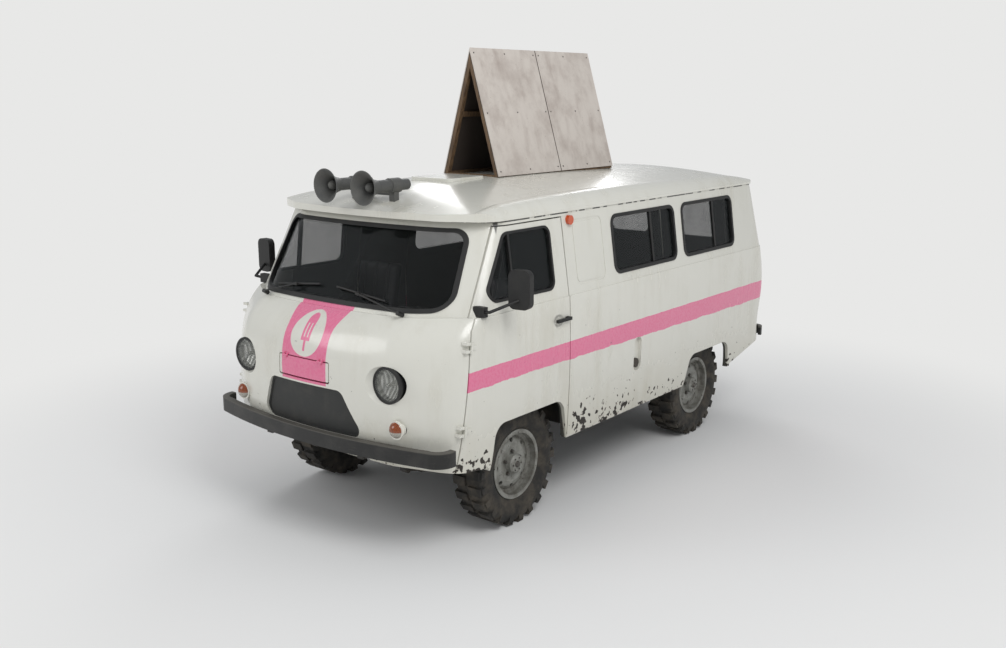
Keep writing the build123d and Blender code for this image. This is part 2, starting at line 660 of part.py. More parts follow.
# Front signals, side repeaters and tail lamps
repeater_y, repeater_z, repeater_radius = aft(462), 1872.0, 30.0
tail_lamp_x, tail_lamp_z, tail_lamp_radius = 740.0, 1020.0, 45.0
with BuildPart() as marker_lamps:
    for side in (-1, 1):
        with BuildSketch(Plane((side * signal_x, signal_face_y, signal_z), x_dir=(1, 0, 0), z_dir=(0, 0, 1))):
            with BuildLine():
                lens = dome(signal_radius + 4, 30, -42)
                Polyline(lens @ 1, (signal_radius + 12, -12), (signal_radius + 12, 0),
                         (signal_radius - 0.5, 0), (signal_radius - 0.5, 30),
                         (0, 30), lens @ 0)
            make_face()
        revolve(axis=Axis((side * signal_x, signal_face_y, signal_z), (0, 1, 0)))
        with Locations(Location((side * 892, repeater_y, repeater_z), (0, 90, 0))):
            Cylinder(repeater_radius, 44)
        with Locations(Location((side * tail_lamp_x, behind(996), tail_lamp_z), (90, 0, 0))):
            Cylinder(tail_lamp_radius, 40)
    add(shell.part, mode=Mode.SUBTRACT)
save(marker_lamps.part, "marker_lamps")

# Bumpers: a bowed channel in front with wrapped ends, and two corner pieces behind
bumper_z = (616.0, 706.0)
bumper_depth = 42.0
bumper_back_y = front_y + bumper_depth + 25     # behind the bow, at the frame's straps
with BuildPart() as front_bumper:
    with BuildSketch(Plane.XY.offset(bumper_z[0])):
        with BuildLine():
            outer = ThreePointArc((-880, front_y + 104), (0, front_y), (880, front_y + 104))
            right = ThreePointArc((880, front_y + 104), (962, front_y + 150), (985, front_y + 238))
            left = ThreePointArc((-985, front_y + 238), (-962, front_y + 150), (-880, front_y + 104))
            Polyline((985, front_y + 238), (985 - bumper_depth, front_y + 238))
            Polyline((-985, front_y + 238), (-985 + bumper_depth, front_y + 238))
            inner_right = ThreePointArc((985 - bumper_depth, front_y + 238), (930, front_y + 176),
                                        (866, front_y + 104 + bumper_depth))
            inner_left = ThreePointArc((-866, front_y + 104 + bumper_depth), (-930, front_y + 176),
                                       (-985 + bumper_depth, front_y + 238))
            inner = ThreePointArc((-866, front_y + 104 + bumper_depth), (0, front_y + bumper_depth),
                                  (866, front_y + 104 + bumper_depth))
        make_face()
    extrude(amount=bumper_z[1] - bumper_z[0])
save(front_bumper.part, "front_bumper")

# Rear bumper: a shallow bowed bar with wrapped ends
rear_bumper_z = (640.0, 715.0)
with BuildPart() as rear_bumper:
    with BuildSketch(Plane.XY.offset(rear_bumper_z[0])):
        with BuildLine():
            outer = ThreePointArc((-880, tail_y - 40), (0, tail_y), (880, tail_y - 40))
            right = ThreePointArc(outer @ 1, (945, tail_y - 66), (968, tail_y - 130))
            left = ThreePointArc((-968, tail_y - 130), (-945, tail_y - 66), outer @ 0)
            inner = ThreePointArc((-870, tail_y - 66), (0, tail_y - 26), (870, tail_y - 66))
            inner_right = ThreePointArc(inner @ 1, (926, tail_y - 86), (944, tail_y - 130))
            inner_left = ThreePointArc((-944, tail_y - 130), (-926, tail_y - 86), inner @ 0)
            Line(right @ 1, inner_right @ 1)
            Line(left @ 0, inner_left @ 0)
        make_face()
    extrude(amount=rear_bumper_z[1] - rear_bumper_z[0])
save(rear_bumper.part, "rear_bumper")

# Floor: load floor with wheel boxes, cab floor over the front wheels and a footwell in front,
# saved as two panels that meet behind the cab
cab_floor_z, load_floor_z, foot_floor_z = 822.0, 712.0, 610.0
sheet = 12.0
tunnel_half, tunnel_y = 300.0, (aft(-560), aft(430))
arch_room, house_x = 480.0, 458.0
rear_house_z, rear_house_x, rear_house_room = 838.0, 548.0, 440.0
threshold_drop = 2.0    # the floor steps down behind the load space


def swing_room(reach):
    """Space round both front door hinges that the leading edge of a door sweeps."""
    with BuildPart(mode=Mode.PRIVATE) as room:
        for side in (-1, 1):
            foot = Vector(side * front_hinge_x, seam_foot[0] - 3, seam_foot[1])
            with BuildSketch(Plane(foot, z_dir=seam_axis)):
                Circle(reach)
            extrude(amount=belt_z - seam_foot[1])
    return room.part


with BuildPart() as floor:
    block(-960, 960, aft(arch_room), behind(1000), load_floor_z - sheet, load_floor_z)
    block(-960, 960, aft(-arch_room), aft(arch_room), cab_floor_z - sheet, cab_floor_z)
    block(-960, 960, aft(-950), aft(-arch_room), foot_floor_z - sheet, foot_floor_z)
    block(-960, 960, aft(-arch_room) - sheet, aft(-arch_room), foot_floor_z, cab_floor_z)
    block(-960, 960, aft(arch_room), aft(arch_room) + sheet, load_floor_z - sheet, cab_floor_z)
    for side in (-1, 1):
        inner, outer = sorted((side * house_x, side * (house_x + sheet)))
        block(inner, outer, aft(-arch_room), aft(arch_room), foot_floor_z, cab_floor_z)
    with Locations((0, (tunnel_y[0] + tunnel_y[1]) / 2, 700)):
        Box(2 * tunnel_half, tunnel_y[1] - tunnel_y[0], 400, mode=Mode.SUBTRACT)
    for side in (-1, 1):
        middle = side * (rear_house_x + 480)
        with Locations((middle, behind(0), load_floor_z)):
            Box(960, 2 * rear_house_room + 2 * sheet, 2 * (rear_house_z - load_floor_z) + 2 * sheet)
        with Locations((middle + side * sheet, behind(0), load_floor_z - 100)):
            Box(960, 2 * rear_house_room, 2 * (rear_house_z - load_floor_z) + 200, mode=Mode.SUBTRACT)
    add(cabin_space, mode=Mode.INTERSECT)
    add([door_room, swing_room(104)], mode=Mode.SUBTRACT)
    with Locations((0, behind(0), load_floor_z - sheet - 250)):
        Box(2400, 3 * rear_house_room, 500, mode=Mode.SUBTRACT)
    with Locations((0, behind(928), load_floor_z)):
        Box(2400, 200, 2 * threshold_drop, mode=Mode.SUBTRACT)
floor_joint_y = aft(arch_room) + sheet
for name, y_from, y_to in (("cab_floor", front_y, floor_joint_y), ("load_deck", floor_joint_y, tail_y)):
    with BuildPart() as floor_panel:
        add(floor.part)
        with Locations((0, (y_from + y_to) / 2, load_floor_z)):
            Box(2400, y_to - y_from, 800, mode=Mode.INTERSECT)
    save(floor_panel.part, name)

# Chassis frame: two rails, cross members, floor bearers and bumper brackets
rail_x, rail_width, rail_z = strap_x, 60.0, (456.0, 556.0)
cross_y = (aft(-560), aft(-250), aft(1150), behind(-650), behind(300), behind(880))
bearer_y = (aft(560), aft(1050), aft(1480), behind(-520), behind(520), behind(860))
rail_start_y = aft(-590)
horn_z = (548.0, foot_floor_z - sheet)
horn_start_y, strap_thickness = front_y + 230, 18.0
eye_y, eye_z, eye_radius, eye_plate = aft(-628), 508.0, 15.0, 20.0
tow_z, tow_half, tow_plate = 492.0, 70.0, 12.0
tow_pitch, tow_hole_radius = (83.0, 56.0), 6.5
with BuildPart() as chassis_frame:
    for side in (-1, 1):
        inner, outer = side * rail_x - rail_width / 2, side * rail_x + rail_width / 2
        block(inner, outer, rail_start_y, behind(960), *rail_z)
        block(inner, outer, horn_start_y, rail_start_y + 60, *horn_z)
        block(inner + 5, outer - 5, bumper_back_y, horn_start_y, horn_z[1] - strap_thickness, horn_z[1])
        block(inner + 5, outer - 5, bumper_back_y, bumper_back_y + 10, horn_z[1] - strap_thickness,
              bumper_z[0] + 32)
        block(side * rail_x - eye_plate / 2, side * rail_x + eye_plate / 2, eye_y - 30, eye_y + 30,
              eye_z - 27, horn_z[0])
        with Locations(Location((side * rail_x, eye_y, eye_z), (0, 90, 0))):
            Cylinder(eye_radius, eye_plate, mode=Mode.SUBTRACT)
        block(inner + 5, outer - 5, behind(960), tail_y - 14, rail_z[1] - 30, rail_z[1])
        block(inner + 5, outer - 5, tail_y - 60, tail_y - 14, rail_z[1], rear_bumper_z[0])
        block(inner, outer, aft(-600), aft(-520), rail_z[1], foot_floor_z - sheet)
    for y in cross_y:
        block(-rail_x, rail_x, y - 30, y + 30, rail_z[1] - 50, rail_z[1])
    block(-tow_half, tow_half, cross_y[-1] + 30, cross_y[-1] + 30 + tow_plate, tow_z - 50, rail_z[1])
    with BuildSketch(Plane.XZ.offset(-cross_y[-1] - 30)):
        with Locations((0, tow_z)):
            with GridLocations(tow_pitch[0], tow_pitch[1], 2, 2):
                Circle(tow_hole_radius)
    extrude(amount=-tow_plate, mode=Mode.SUBTRACT)
    for y in bearer_y:
        reach = 500 if abs(y - rear_axle_y) < 530 else 870
        block(-reach, reach, y - 25, y + 25, load_floor_z - sheet - 60, load_floor_z - sheet)
        for side in (-1, 1):
            block(side * rail_x - 25, side * rail_x + 25, y - 25, y + 25, rail_z[1], load_floor_z - sheet - 60)
save(chassis_frame.part, "chassis_frame")

# Engine, under its cover between the seats, with the gearbox, transfer case and drive shafts
engine_box = (210.0, aft(-350), aft(325), rail_z[1], 1005.0)
with BuildPart() as engine:
    block(-engine_box[0], engine_box[0], *engine_box[1:])
save(engine.part, "engine")

cover_half, cover_top_z = 330.0, 1066.0
with BuildPart() as engine_cover:
    block(-cover_half, cover_half, tunnel_y[0] + 20, tunnel_y[1] + 16, cab_floor_z, cover_top_z)
    fillet(engine_cover.edges().filter_by(Axis.Y).sort_by(Axis.Z)[-2:], 60)
    block(-cover_half - 20, cover_half + 20, aft(-arch_room) + 4, aft(arch_room) - 4, cab_floor_z, cab_floor_z + 8)
    with Locations((0, (tunnel_y[0] + tunnel_y[1]) / 2 + 18, cab_floor_z + 80)):
        Box(2 * cover_half - 50, tunnel_y[1] - tunnel_y[0] - 40, 2 * 80 + 2 * 60, mode=Mode.SUBTRACT)
save(engine_cover.part, "engine_cover")

diff_x, diff_radius, tube_radius = -120.0, 135.0, 45.0
transfer_y = (aft(800), aft(1010))
gear_top_z = load_floor_z - sheet - 64
with BuildPart() as driveline:
    block(-110, 110, engine_box[2], aft(700), rail_z[0] + 24, gear_top_z)
    with Locations(Location((0, aft(750), 560), (90, 0, 0))):
        Cylinder(60, 100)
    block(-190, 80, *transfer_y, rail_z[0] - 26, gear_top_z)
    pinion_end = diff_radius + 60.3
    for flange_y in (front_axle_y + pinion_end + 6, rear_axle_y - pinion_end - 6):
        with Locations(Location((diff_x, flange_y, axle_z + 8), (90, 0, 0))):
            Cylinder(42, 12)
    for start, end in (((diff_x, transfer_y[0], 470), (diff_x, front_axle_y + pinion_end + 8, axle_z + 8)),
                       ((diff_x, transfer_y[1], 470), (diff_x, rear_axle_y - pinion_end - 8, axle_z + 8))):
        run = Vector(*end) - Vector(*start)
        with BuildSketch(Plane(start, z_dir=run)):
            Circle(30)
        extrude(amount=run.length)
save(driveline.part, "driveline")

# Exhaust: pipe over the rail, silencer and tail pipe
exhaust_x, exhaust_z = -505.0, 575.0
with BuildPart() as exhaust:
    with BuildLine() as route:
        FilletPolyline((-engine_box[0], aft(200), 620), (-290, aft(200), 620), (-290, aft(610), 600),
                       (exhaust_x, aft(740), exhaust_z), (exhaust_x, aft(815), exhaust_z), radius=45)
    with BuildSketch(Plane(route.line @ 0, z_dir=route.line % 0)):
        Circle(22)
    sweep(path=route.line)
    with Locations(Location((exhaust_x, aft(990), exhaust_z), (90, 0, 0))):
        Cylinder(58, 380)
    with BuildLine() as outlet:
        FilletPolyline((exhaust_x, aft(1170), exhaust_z), (exhaust_x, aft(1400), exhaust_z),
                       (-600, aft(1520), 530), (-760, aft(1600), 460), radius=70)
    with BuildSketch(Plane(outlet.line @ 0, z_dir=outlet.line % 0)):
        Circle(22)
    sweep(path=outlet.line)
save(exhaust.part, "exhaust")

# Fuel tanks under the load floor, and the filler cap in its recess
tank_x, tank_y, tank_z = (600.0, 860.0), (aft(550), aft(1060)), (500.0, load_floor_z - sheet - 60)
with BuildPart() as fuel_tanks:
    for side in (-1, 1):
        low, high = sorted((side * tank_x[0], side * tank_x[1]))
        block(low, high, tank_y[0], tank_y[1], *tank_z)
    fillet(fuel_tanks.edges().filter_by(Axis.Y), 35)
    with Locations(Location((940 + 8, filler_y, filler_z[0] + 6), (0, 90, 0))):
        Cylinder(33, 16)
save(fuel_tanks.part, "fuel_tanks")

# Springs and dampers: leaf packs under each axle, hung from the rails
spring_half, spring_width, leaf = 540.0, 56.0, 8.0
leaf_lengths = (540.0, 430.0, 310.0, 190.0)
spring_drop = axle_z - tube_radius - 12


def leaf_profile(center_y, half, top, rise):
    """Side view of one bent leaf, drawn in an open sketch on a plane along X."""
    end_z = top + rise * (half / spring_half) ** 2
    with BuildLine() as edges:
        upper = ThreePointArc((center_y - half, end_z), (center_y, top), (center_y + half, end_z))
        lower = ThreePointArc((center_y + half, end_z - leaf), (center_y, top - leaf),
                              (center_y - half, end_z - leaf))
        Line(upper @ 1, lower @ 0)
        Line(lower @ 1, upper @ 0)
    add(edges.line)
    make_face()


with BuildPart() as suspension:
    for axle_y in (front_axle_y, rear_axle_y):
        for side in (-1, 1):
            for i, half in enumerate(leaf_lengths):
                with BuildSketch(Plane.YZ.offset(side * rail_x - spring_width / 2)):
                    leaf_profile(axle_y, half, spring_drop - i * leaf, 84)
                extrude(amount=spring_width)
            for end in (-1, 1):
                with Locations(Location((side * rail_x, axle_y + end * spring_half, spring_drop + 80),
                                        (0, 90, 0))):
                    Cylinder(19, spring_width)
                with Locations((side * rail_x, axle_y + end * spring_half,
                                (spring_drop + 80 + rail_z[0]) / 2)):
                    Box(spring_width - 16, 34, rail_z[0] - spring_drop - 80)
            block(side * rail_x - 38, side * rail_x + 38, axle_y - 60, axle_y + 60,
                  spring_drop - 44, spring_drop - 32)
save(suspension.part, "suspension")

# Axles: a tube with its differential, spring seats and, in front, the yokes for the kingpins
spindle_radius, spindle_gap = 25.0, 0.05
pin_radius, pin_gap = 14.0, 0.05
yoke_low, yoke_high, lug_thickness = 58.0, 82.0, 24.0
barrel_half = 56.0


def axle_housing(axle_y, half_length, pinion):
    """Tube, differential and pinion nose, added to the part that is open."""
    with Locations(Location((0, axle_y, axle_z), (0, 90, 0))):
        Cylinder(tube_radius, 2 * half_length)
    with Locations((diff_x, axle_y, axle_z)):
        Sphere(diff_radius)
    with Locations(Location((diff_x, axle_y + pinion * (diff_radius + 10), axle_z + 8), (90, 0, 0))):
        Cylinder(48, 100)
    for side in (-1, 1):
        block(side * rail_x - 35, side * rail_x + 35, axle_y - 30, axle_y + 30,
              spring_drop + 0.3, axle_z - 20)


with BuildPart() as front_axle:
    axle_housing(front_axle_y, 560, 1)
    for side in (-1, 1):
        x0, x1 = sorted((side * 548, side * 575))
        block(x0, x1, front_axle_y - 32, front_axle_y + 32, axle_z - yoke_high, axle_z + yoke_high)
        for up in (-1, 1):
            z0, z1 = sorted((axle_z + up * yoke_low, axle_z + up * yoke_high))
            x0, x1 = sorted((side * 548, side * kingpin_x))
            block(x0, x1, front_axle_y - 32, front_axle_y + 32, z0, z1)
            with Locations((side * kingpin_x, front_axle_y, (z0 + z1) / 2)):
                Cylinder(32, z1 - z0)
                Hole(pin_radius)
save(front_axle.part, "front_axle")

rear_spindle_x = (650.0, 800.0)
with BuildPart() as rear_axle:
    axle_housing(rear_axle_y, rear_spindle_x[0], -1)
    for side in (-1, 1):
        with Locations(Location((side * (rear_spindle_x[0] + rear_spindle_x[1]) / 2, rear_axle_y, axle_z),
                                (0, 90, 0))):
            Cylinder(spindle_radius - spindle_gap, rear_spindle_x[1] - rear_spindle_x[0])
        with Locations(Location((side * 656, rear_axle_y, axle_z), (0, 90, 0))):
            Cylinder(125, 8)
save(rear_axle.part, "rear_axle")

# Knuckles: barrel with kingpin, stub axle, back plate and the arm that takes the tie rod
arm_length, arm_z = 168.0, 400.0
arm_thickness = 16.0
tie_pin_radius, tie_pin_gap = 9.0, 0.05
for side, name in ((1, "left"), (-1, "right")):
    with BuildPart() as knuckle:
        with Locations((side * kingpin_x, front_axle_y, axle_z)):
            Cylinder(30, 2 * barrel_half)
            Cylinder(pin_radius - pin_gap, 2 * yoke_high + 6)
        x0, x1 = sorted((side * kingpin_x, side * 700))
        with Locations(Location(((x0 + x1) / 2, front_axle_y, axle_z), (0, 90, 0))):
            Cylinder(40, 60)
        with Locations(Location((side * 694, front_axle_y, axle_z), (0, 90, 0))):
            Cylinder(105, 8)
        with Locations(Location((side * 745, front_axle_y, axle_z), (0, 90, 0))):
            Cylinder(spindle_radius - spindle_gap, 110)
        arm_y = front_axle_y - arm_length
        block(side * kingpin_x - 17, side * kingpin_x + 17, arm_y, front_axle_y,
              arm_z - arm_thickness / 2, arm_z + arm_thickness / 2)
        with Locations((side * kingpin_x, arm_y, arm_z)):
            Cylinder(20, arm_thickness)
            Hole(tie_pin_radius)
    save(knuckle.part, f"knuckle_{name}")

# Tie rod between the two steering arms, a pin at each end
rod_z = arm_z - 36
with BuildPart() as tie_rod:
    with Locations(Location((0, front_axle_y - arm_length, rod_z), (0, 90, 0))):
        Cylinder(13, 2 * kingpin_x)
    for side in (-1, 1):
        with Locations((side * kingpin_x, front_axle_y - arm_length, 0)):
            with Locations((0, 0, (rod_z + arm_z + 12) / 2)):
                Cylinder(tie_pin_radius - tie_pin_gap, arm_z + 12 - rod_z)
            with Locations((0, 0, rod_z)):
                Cylinder(20, 36)
save(tie_rod.part, "tie_rod")

# Wheels: a pressed rim with its disc, hub and brake drum; and the tyre with chunky lugs
wheels = (("front_left", 1, front_axle_y), ("front_right", -1, front_axle_y),
          ("rear_left", 1, rear_axle_y), ("rear_right", -1, rear_axle_y))
vent_count, vent_circle = 8, 150.0
half_rim = rim_width / 2
seat_radius = bead_radius - 0.3
with BuildPart() as rim:
    with BuildSketch(Plane.XY):
        with BuildLine():
            Polyline((half_rim + 8, 222), (half_rim + 2, 222), (half_rim + 1, seat_radius), (42, seat_radius),
                     (34, 180), (-30, 180), (-40, seat_radius), (-half_rim - 1, seat_radius),
                     (-half_rim - 2, 222), (-half_rim - 8, 222), (-half_rim - 8, 197), (-46, 196),
                     (-36, 173), (20, 173), (32, 150), (42, 120), (36, 97), (0, 97), (-6, 149), (-72, 149),
                     (-72, 139), (-16, 139), (-20, 66), (-46, 62), (-46, 25), (60, 25), (60, 0), (95, 0),
                     (95, 50), (84, 60), (46, 62), (50, 92), (56, 120), (46, 152), (34, 172), (40, 174),
                     (48, 196), (half_rim + 8, 197), close=True)
        make_face()
    revolve(axis=Axis.X)
    with PolarLocations(vent_circle, vent_count) as vents:
        holes = [Location((48, place.position.X, place.position.Y), (0, 90, 0)) for place in vents.locations]
    with Locations(*holes):
        Cylinder(15, 70, mode=Mode.SUBTRACT)
rim_part = rim.part

tread_radius = tyre_radius - lug_height
lug_length, lug_block = 56.0, 29.0
lug_top = sqrt(tyre_radius ** 2 - (lug_length / 2) ** 2)


def around(count, offset, radius, shift):
    """Places round the tyre, on each shoulder in turn, with the two sides staggered."""
    places = []
    for i in range(count):
        for side in (-1, 1):
            angle = 360 / count * (i + side * shift)
            places.append(Location((side * offset, -radius * sin(radians(angle)), radius * cos(radians(angle))),
                                   (angle, 0, 0)))
    return places


with BuildPart() as tyre:
    with BuildSketch(Plane.XY):
        with BuildLine():
            half = tyre_width / 2
            right = ThreePointArc((half_rim, bead_radius + 21), (half, 300), (88, tread_radius - 3))
            crown = ThreePointArc(right @ 1, (0, tread_radius), (-88, tread_radius - 3))
            left = ThreePointArc(crown @ 1, (-half, 300), (-half_rim, bead_radius + 21))
            Polyline(left @ 1, (-half_rim, bead_radius), (half_rim, bead_radius), right @ 0)
        make_face()
    revolve(axis=Axis.X)
    with Locations(*around(lug_count, 56, lug_top - lug_block / 2, 0.25)):
        Box(92, lug_length, lug_block)
    with Locations(*around(lug_count, 98, tread_radius - 34, 0.25)):
        Box(22, 44, 62)
tyre_part = tyre.part

for name, side, axle_y in wheels:
    place = Location((side * wheel_x, axle_y, axle_z), (0, 0, 0 if side > 0 else 180))
    save(rim_part.moved(place), f"wheel_{name}")
    save(tyre_part.moved(place), f"tyre_{name}")

# Cab: dashboard with the steering column, steering wheel and two seats
dash_y, dash_z = (aft(-700), aft(-500)), (1150.0, 1385.0)
wheel_center = Vector(430, aft(-330), 1290)
column_foot = Vector(430, aft(-800), foot_floor_z)
column_axis = (wheel_center - column_foot).normalized()
column_length = (wheel_center - column_foot).length
column_radius, shaft_radius, shaft_gap = 24.0, 9.0, 0.05
with BuildPart() as dashboard:
    with BuildSketch(Plane.YZ.offset(-880)):
        with BuildLine():
            Polyline((dash_y[0] - 140, dash_z[1]), (dash_y[1] - 30, dash_z[1]), (dash_y[1], dash_z[1] - 30),
                     (dash_y[1] - 60, dash_z[0]), (dash_y[0], dash_z[0]), close=True)
        make_face()
    extrude(amount=1760)
    add(cabin_space, mode=Mode.INTERSECT)
    add([door_room, swing_room(118)], mode=Mode.SUBTRACT)
    with BuildSketch(Plane(column_foot, z_dir=column_axis)):
        Circle(column_radius)
    extrude(amount=column_length - 45)
    with BuildSketch(Plane(column_foot + column_axis * (column_length - 145), z_dir=column_axis)):
        Circle(shaft_radius)
    extrude(amount=200, mode=Mode.SUBTRACT)
    block(column_foot.X - 40, column_foot.X + 40, aft(-822), aft(-740), foot_floor_z, foot_floor_z + 14)
    with Locations((0, 0, foot_floor_z - 50)):
        Box(3000, 6000, 100, mode=Mode.SUBTRACT)
save(dashboard.part, "dashboard")

wheel_plane = Plane(wheel_center, x_dir=(1, 0, 0), z_dir=column_axis)
hand_wheel_radius = 205.0
with BuildPart() as steering_wheel:
    with BuildSketch(Plane(wheel_plane.origin, x_dir=wheel_plane.x_dir, z_dir=-wheel_plane.y_dir)):
        with Locations((hand_wheel_radius, 0)):
            Circle(11)
    revolve(axis=Axis(wheel_plane.origin, wheel_plane.z_dir))
    with BuildSketch(wheel_plane.offset(-42)):
        Circle(36)
    extrude(amount=40)
    with BuildSketch(wheel_plane.offset(-14)):
        for angle in (20, 160, 270):
            with PolarLocations(0, 1, start_angle=angle):
                with Locations((hand_wheel_radius / 2, 0)):
                    Rectangle(hand_wheel_radius - 8, 20)
    extrude(amount=10)
    with BuildSketch(wheel_plane.offset(-140)):
        Circle(shaft_radius - shaft_gap)
    extrude(amount=100)
save(steering_wheel.part, "steering_wheel")

seat_x, seat_width = 590.0, 430.0
seat_y = (aft(-190), aft(270))
seat_base_z, seat_top_z = cab_floor_z + 60, cab_floor_z + 160
with BuildPart() as cushion:
    block(-seat_width / 2, seat_width / 2, *seat_y, seat_base_z, seat_top_z)
    fillet(cushion.edges().filter_by(Axis.X), 24)
with BuildPart() as backrest:
    with BuildSketch(Plane.YZ.offset(-seat_width / 2 + 10)):
        with BuildLine():
            Polyline((seat_y[1] - 110, seat_top_z), (seat_y[1] - 24, seat_top_z),
                     (seat_y[1] + 80, seat_top_z + 530), (seat_y[1] + 10, seat_top_z + 545), close=True)
        make_face()
    extrude(amount=seat_width - 20)
    fillet(backrest.edges().filter_by(Axis.X).sort_by(Axis.Z)[-2:], 24)
with BuildPart() as seats:
    for side in (-1, 1):
        place = Location((side * seat_x, 0, 0))
        add(cushion.part.moved(place))
        add(backrest.part.moved(place))
        x0, x1 = side * seat_x - seat_width / 2, side * seat_x + seat_width / 2
        block(x0 + 30, x1 - 30, seat_y[0] + 30, seat_y[1] - 60, cab_floor_z, seat_base_z)
save(seats.part, "seats")

# Fittings on the front doors: mirror on its bracket, handle, window rubber and its upright bar
mirror_center = (1101.0, aft(-299), 1563.0)
mirror_size = (140.0, 46.0, 226.0)
mirror_turn = 8.0
bracket_foot = (966.0, aft(-452), 1440.0)
with BuildPart() as door_fittings:
    add(door_seal_shell)
    add(side_prism(door_window, 62, x_from=0), mode=Mode.INTERSECT)
    add(side_prism(grown(door_window, -16), 46), mode=Mode.SUBTRACT)
    with BuildSketch(Plane(mirror_center, z_dir=(sin(radians(mirror_turn)), -cos(radians(mirror_turn)), 0))):
        RectangleRounded(mirror_size[0], mirror_size[2], 40)
    extrude(amount=mirror_size[1] / 2, both=True)
    foot = Vector(*bracket_foot)
    elbow = foot + Vector(48, -20, 10)
    head = Vector(*mirror_center) + Vector(0, -20, -60)
    for start, end in ((foot, elbow), (elbow, head)):
        with BuildSketch(Plane(start, z_dir=end - start)):
            Circle(9)
        extrude(amount=(end - start).length)
    with Locations(tuple(elbow)):
        Sphere(9)
    with Locations((930, bracket_foot[1], bracket_foot[2])):
        Box(80, 36, 58)
    add([door_window_bar.part, door_handle(Location((966, aft(350), 1272)))])
    add(front_door_leaf, mode=Mode.SUBTRACT)
save_pair(door_fittings.part, "front_door_fittings")

# Wipers, parked low across the windscreen: an arm from each pivot and a blade along the glass
# columns: side, blade's outer end (x, z), blade's inner end (x, z)
wiper_rows = (
    (1, (430.0, 1478.0), (20.0, 1520.0)),
    (-1, (-520.0, 1480.0), (-130.0, 1520.0)),
)


def screen_point(x, z, ahead):
    """Point this far ahead of the body's skin, carried across the windscreen."""
    rise = (z - belt_z) / (gutter_z - belt_z)
    nose = upper_rows[0][2] + (upper_rows[1][2] - upper_rows[0][2]) * rise
    cheek = upper_rows[0][4] + (upper_rows[1][4] - upper_rows[0][4]) * rise
    return Vector(x, aft(-(nose - (nose - cheek) * (x / 600) ** 2) - ahead), z)


def rod(start, end, radius):
    """Round bar between two points, added to the part that is open."""
    with BuildSketch(Plane(start, z_dir=end - start)) as section:
        Circle(radius)
    extrude(section.sketch, amount=(end - start).length)


wiper_knees = [(Vector(side * 585, aft(-722), 1420), Vector(side * 578, aft(-762), 1440))
               for side, outer_end, inner_end in wiper_rows]
with BuildPart() as wiper_pivots:
    for pivot, knee in wiper_knees:
        rod(pivot, knee, 13)
    add(front_panel.part, mode=Mode.SUBTRACT)
with BuildPart() as wipers:
    add(wiper_pivots.part)
    for (side, outer_end, inner_end), (pivot, knee) in zip(wiper_rows, wiper_knees):
        outer, inner = screen_point(*outer_end, 5), screen_point(*inner_end, 5)
        middle = (outer + inner) * 0.5
        grip = middle + Vector(0, -26, 4)
        rod(outer, inner, 6.5)
        rod(middle, grip, 4)
        rod(knee - (knee - pivot).normalized() * 6, grip, 5.5)
        with Locations(tuple(grip)):
            Box(30, 15, 16)
save(wipers.part, "wipers")

# Horn speakers: two open bells with their drivers, on a bar over the roof's brow
horn_x, horn_z = 160.0, 2104.0
horn_y = aft(-592)
bar_y, foot_half = aft(-330), 22.0
with BuildPart() as horn_speakers:
    for side in (-1, 1):
        with BuildSketch(Plane((side * horn_x, horn_y, horn_z), x_dir=(1, 0, 0), z_dir=(0, 0, 1))):
            with BuildLine():
                flare = ThreePointArc((103, 0), (66, 44), (42, 110))
                Polyline(flare @ 1, (38, 112), (38, 215), (45, 218), (45, 300), (34, 306), (34, 376), (0, 376),
                         (0, 205), (33, 205), (33, 112))
                inner = ThreePointArc((33, 112), (60, 42), (97, 0))
                Line(inner @ 1, flare @ 0)
            make_face()
        revolve(axis=Axis((side * horn_x, horn_y, horn_z), (0, 1, 0)))
        with BuildSketch(Plane((side * horn_x, horn_y, horn_z), x_dir=(1, 0, 0), z_dir=(0, 0, 1))):
            with BuildLine():
                nose = ThreePointArc((0, 30), (20, 40), (27, 70))
                Polyline(nose @ 1, (12, 210), (0, 210), nose @ 0)
            make_face()
        revolve(axis=Axis((side * horn_x, horn_y, horn_z), (0, 1, 0)))
        block(side * horn_x - foot_half, side * horn_x + foot_half, bar_y - 20, bar_y + 20,
              1960, horn_z - 38)
    block(-horn_x, horn_x, bar_y - 12, bar_y + 12, horn_z - 62, horn_z - 44)
    add(roof_outer, mode=Mode.SUBTRACT)
save(horn_speakers.part, "horn_speakers")

# Sign: two boards on each face of an A frame, end to end along the roof
sign_y0 = aft(585)
board_lengths = (722.0, 680.0)
sign_foot, sign_foot_z, sign_top_z = 250.0, 2090.0, 2944.0
board_gap = 3.0
board_thickness, batten, batten_width = 12.0, 24.0, 34.0
slope = atan2(sign_foot, sign_top_z - sign_foot_z)
slant = hypot(sign_foot, sign_top_z - sign_foot_z)
board_starts = (sign_y0, sign_y0 + board_lengths[0] + board_gap)


def leaning(side, start, run, depth, thickness, low, window=None):
    """Flat piece of one sign face, leaning in and cut off at the centre plane."""
    up = 1 if side > 0 else -1
    lean = Plane((side * sign_foot, start, sign_foot_z), x_dir=(0, 1, 0),
                 z_dir=(side * cos(slope), 0, sin(slope)))
    with BuildPart() as piece:
        with BuildSketch(lean.offset(-depth - thickness)):
            with Locations((run / 2, up * (slant + low) / 2)):
                Rectangle(run, slant - low)
                if window is not None:
                    Rectangle(run - 2 * window, slant - 2 * window, mode=Mode.SUBTRACT)
            if window is not None:
                with Locations((run / 2, up * slant / 2)):
                    Rectangle(run, window)
        extrude(amount=thickness)
        with Locations((-side * 500, start + run / 2, sign_top_z - 400)):
            Box(1000, 2 * run, 1400, mode=Mode.SUBTRACT)
        with Locations((0, start + run / 2, sign_top_z + 200)):
            Box(1000, 2 * run, 400, mode=Mode.SUBTRACT)
    return piece.part


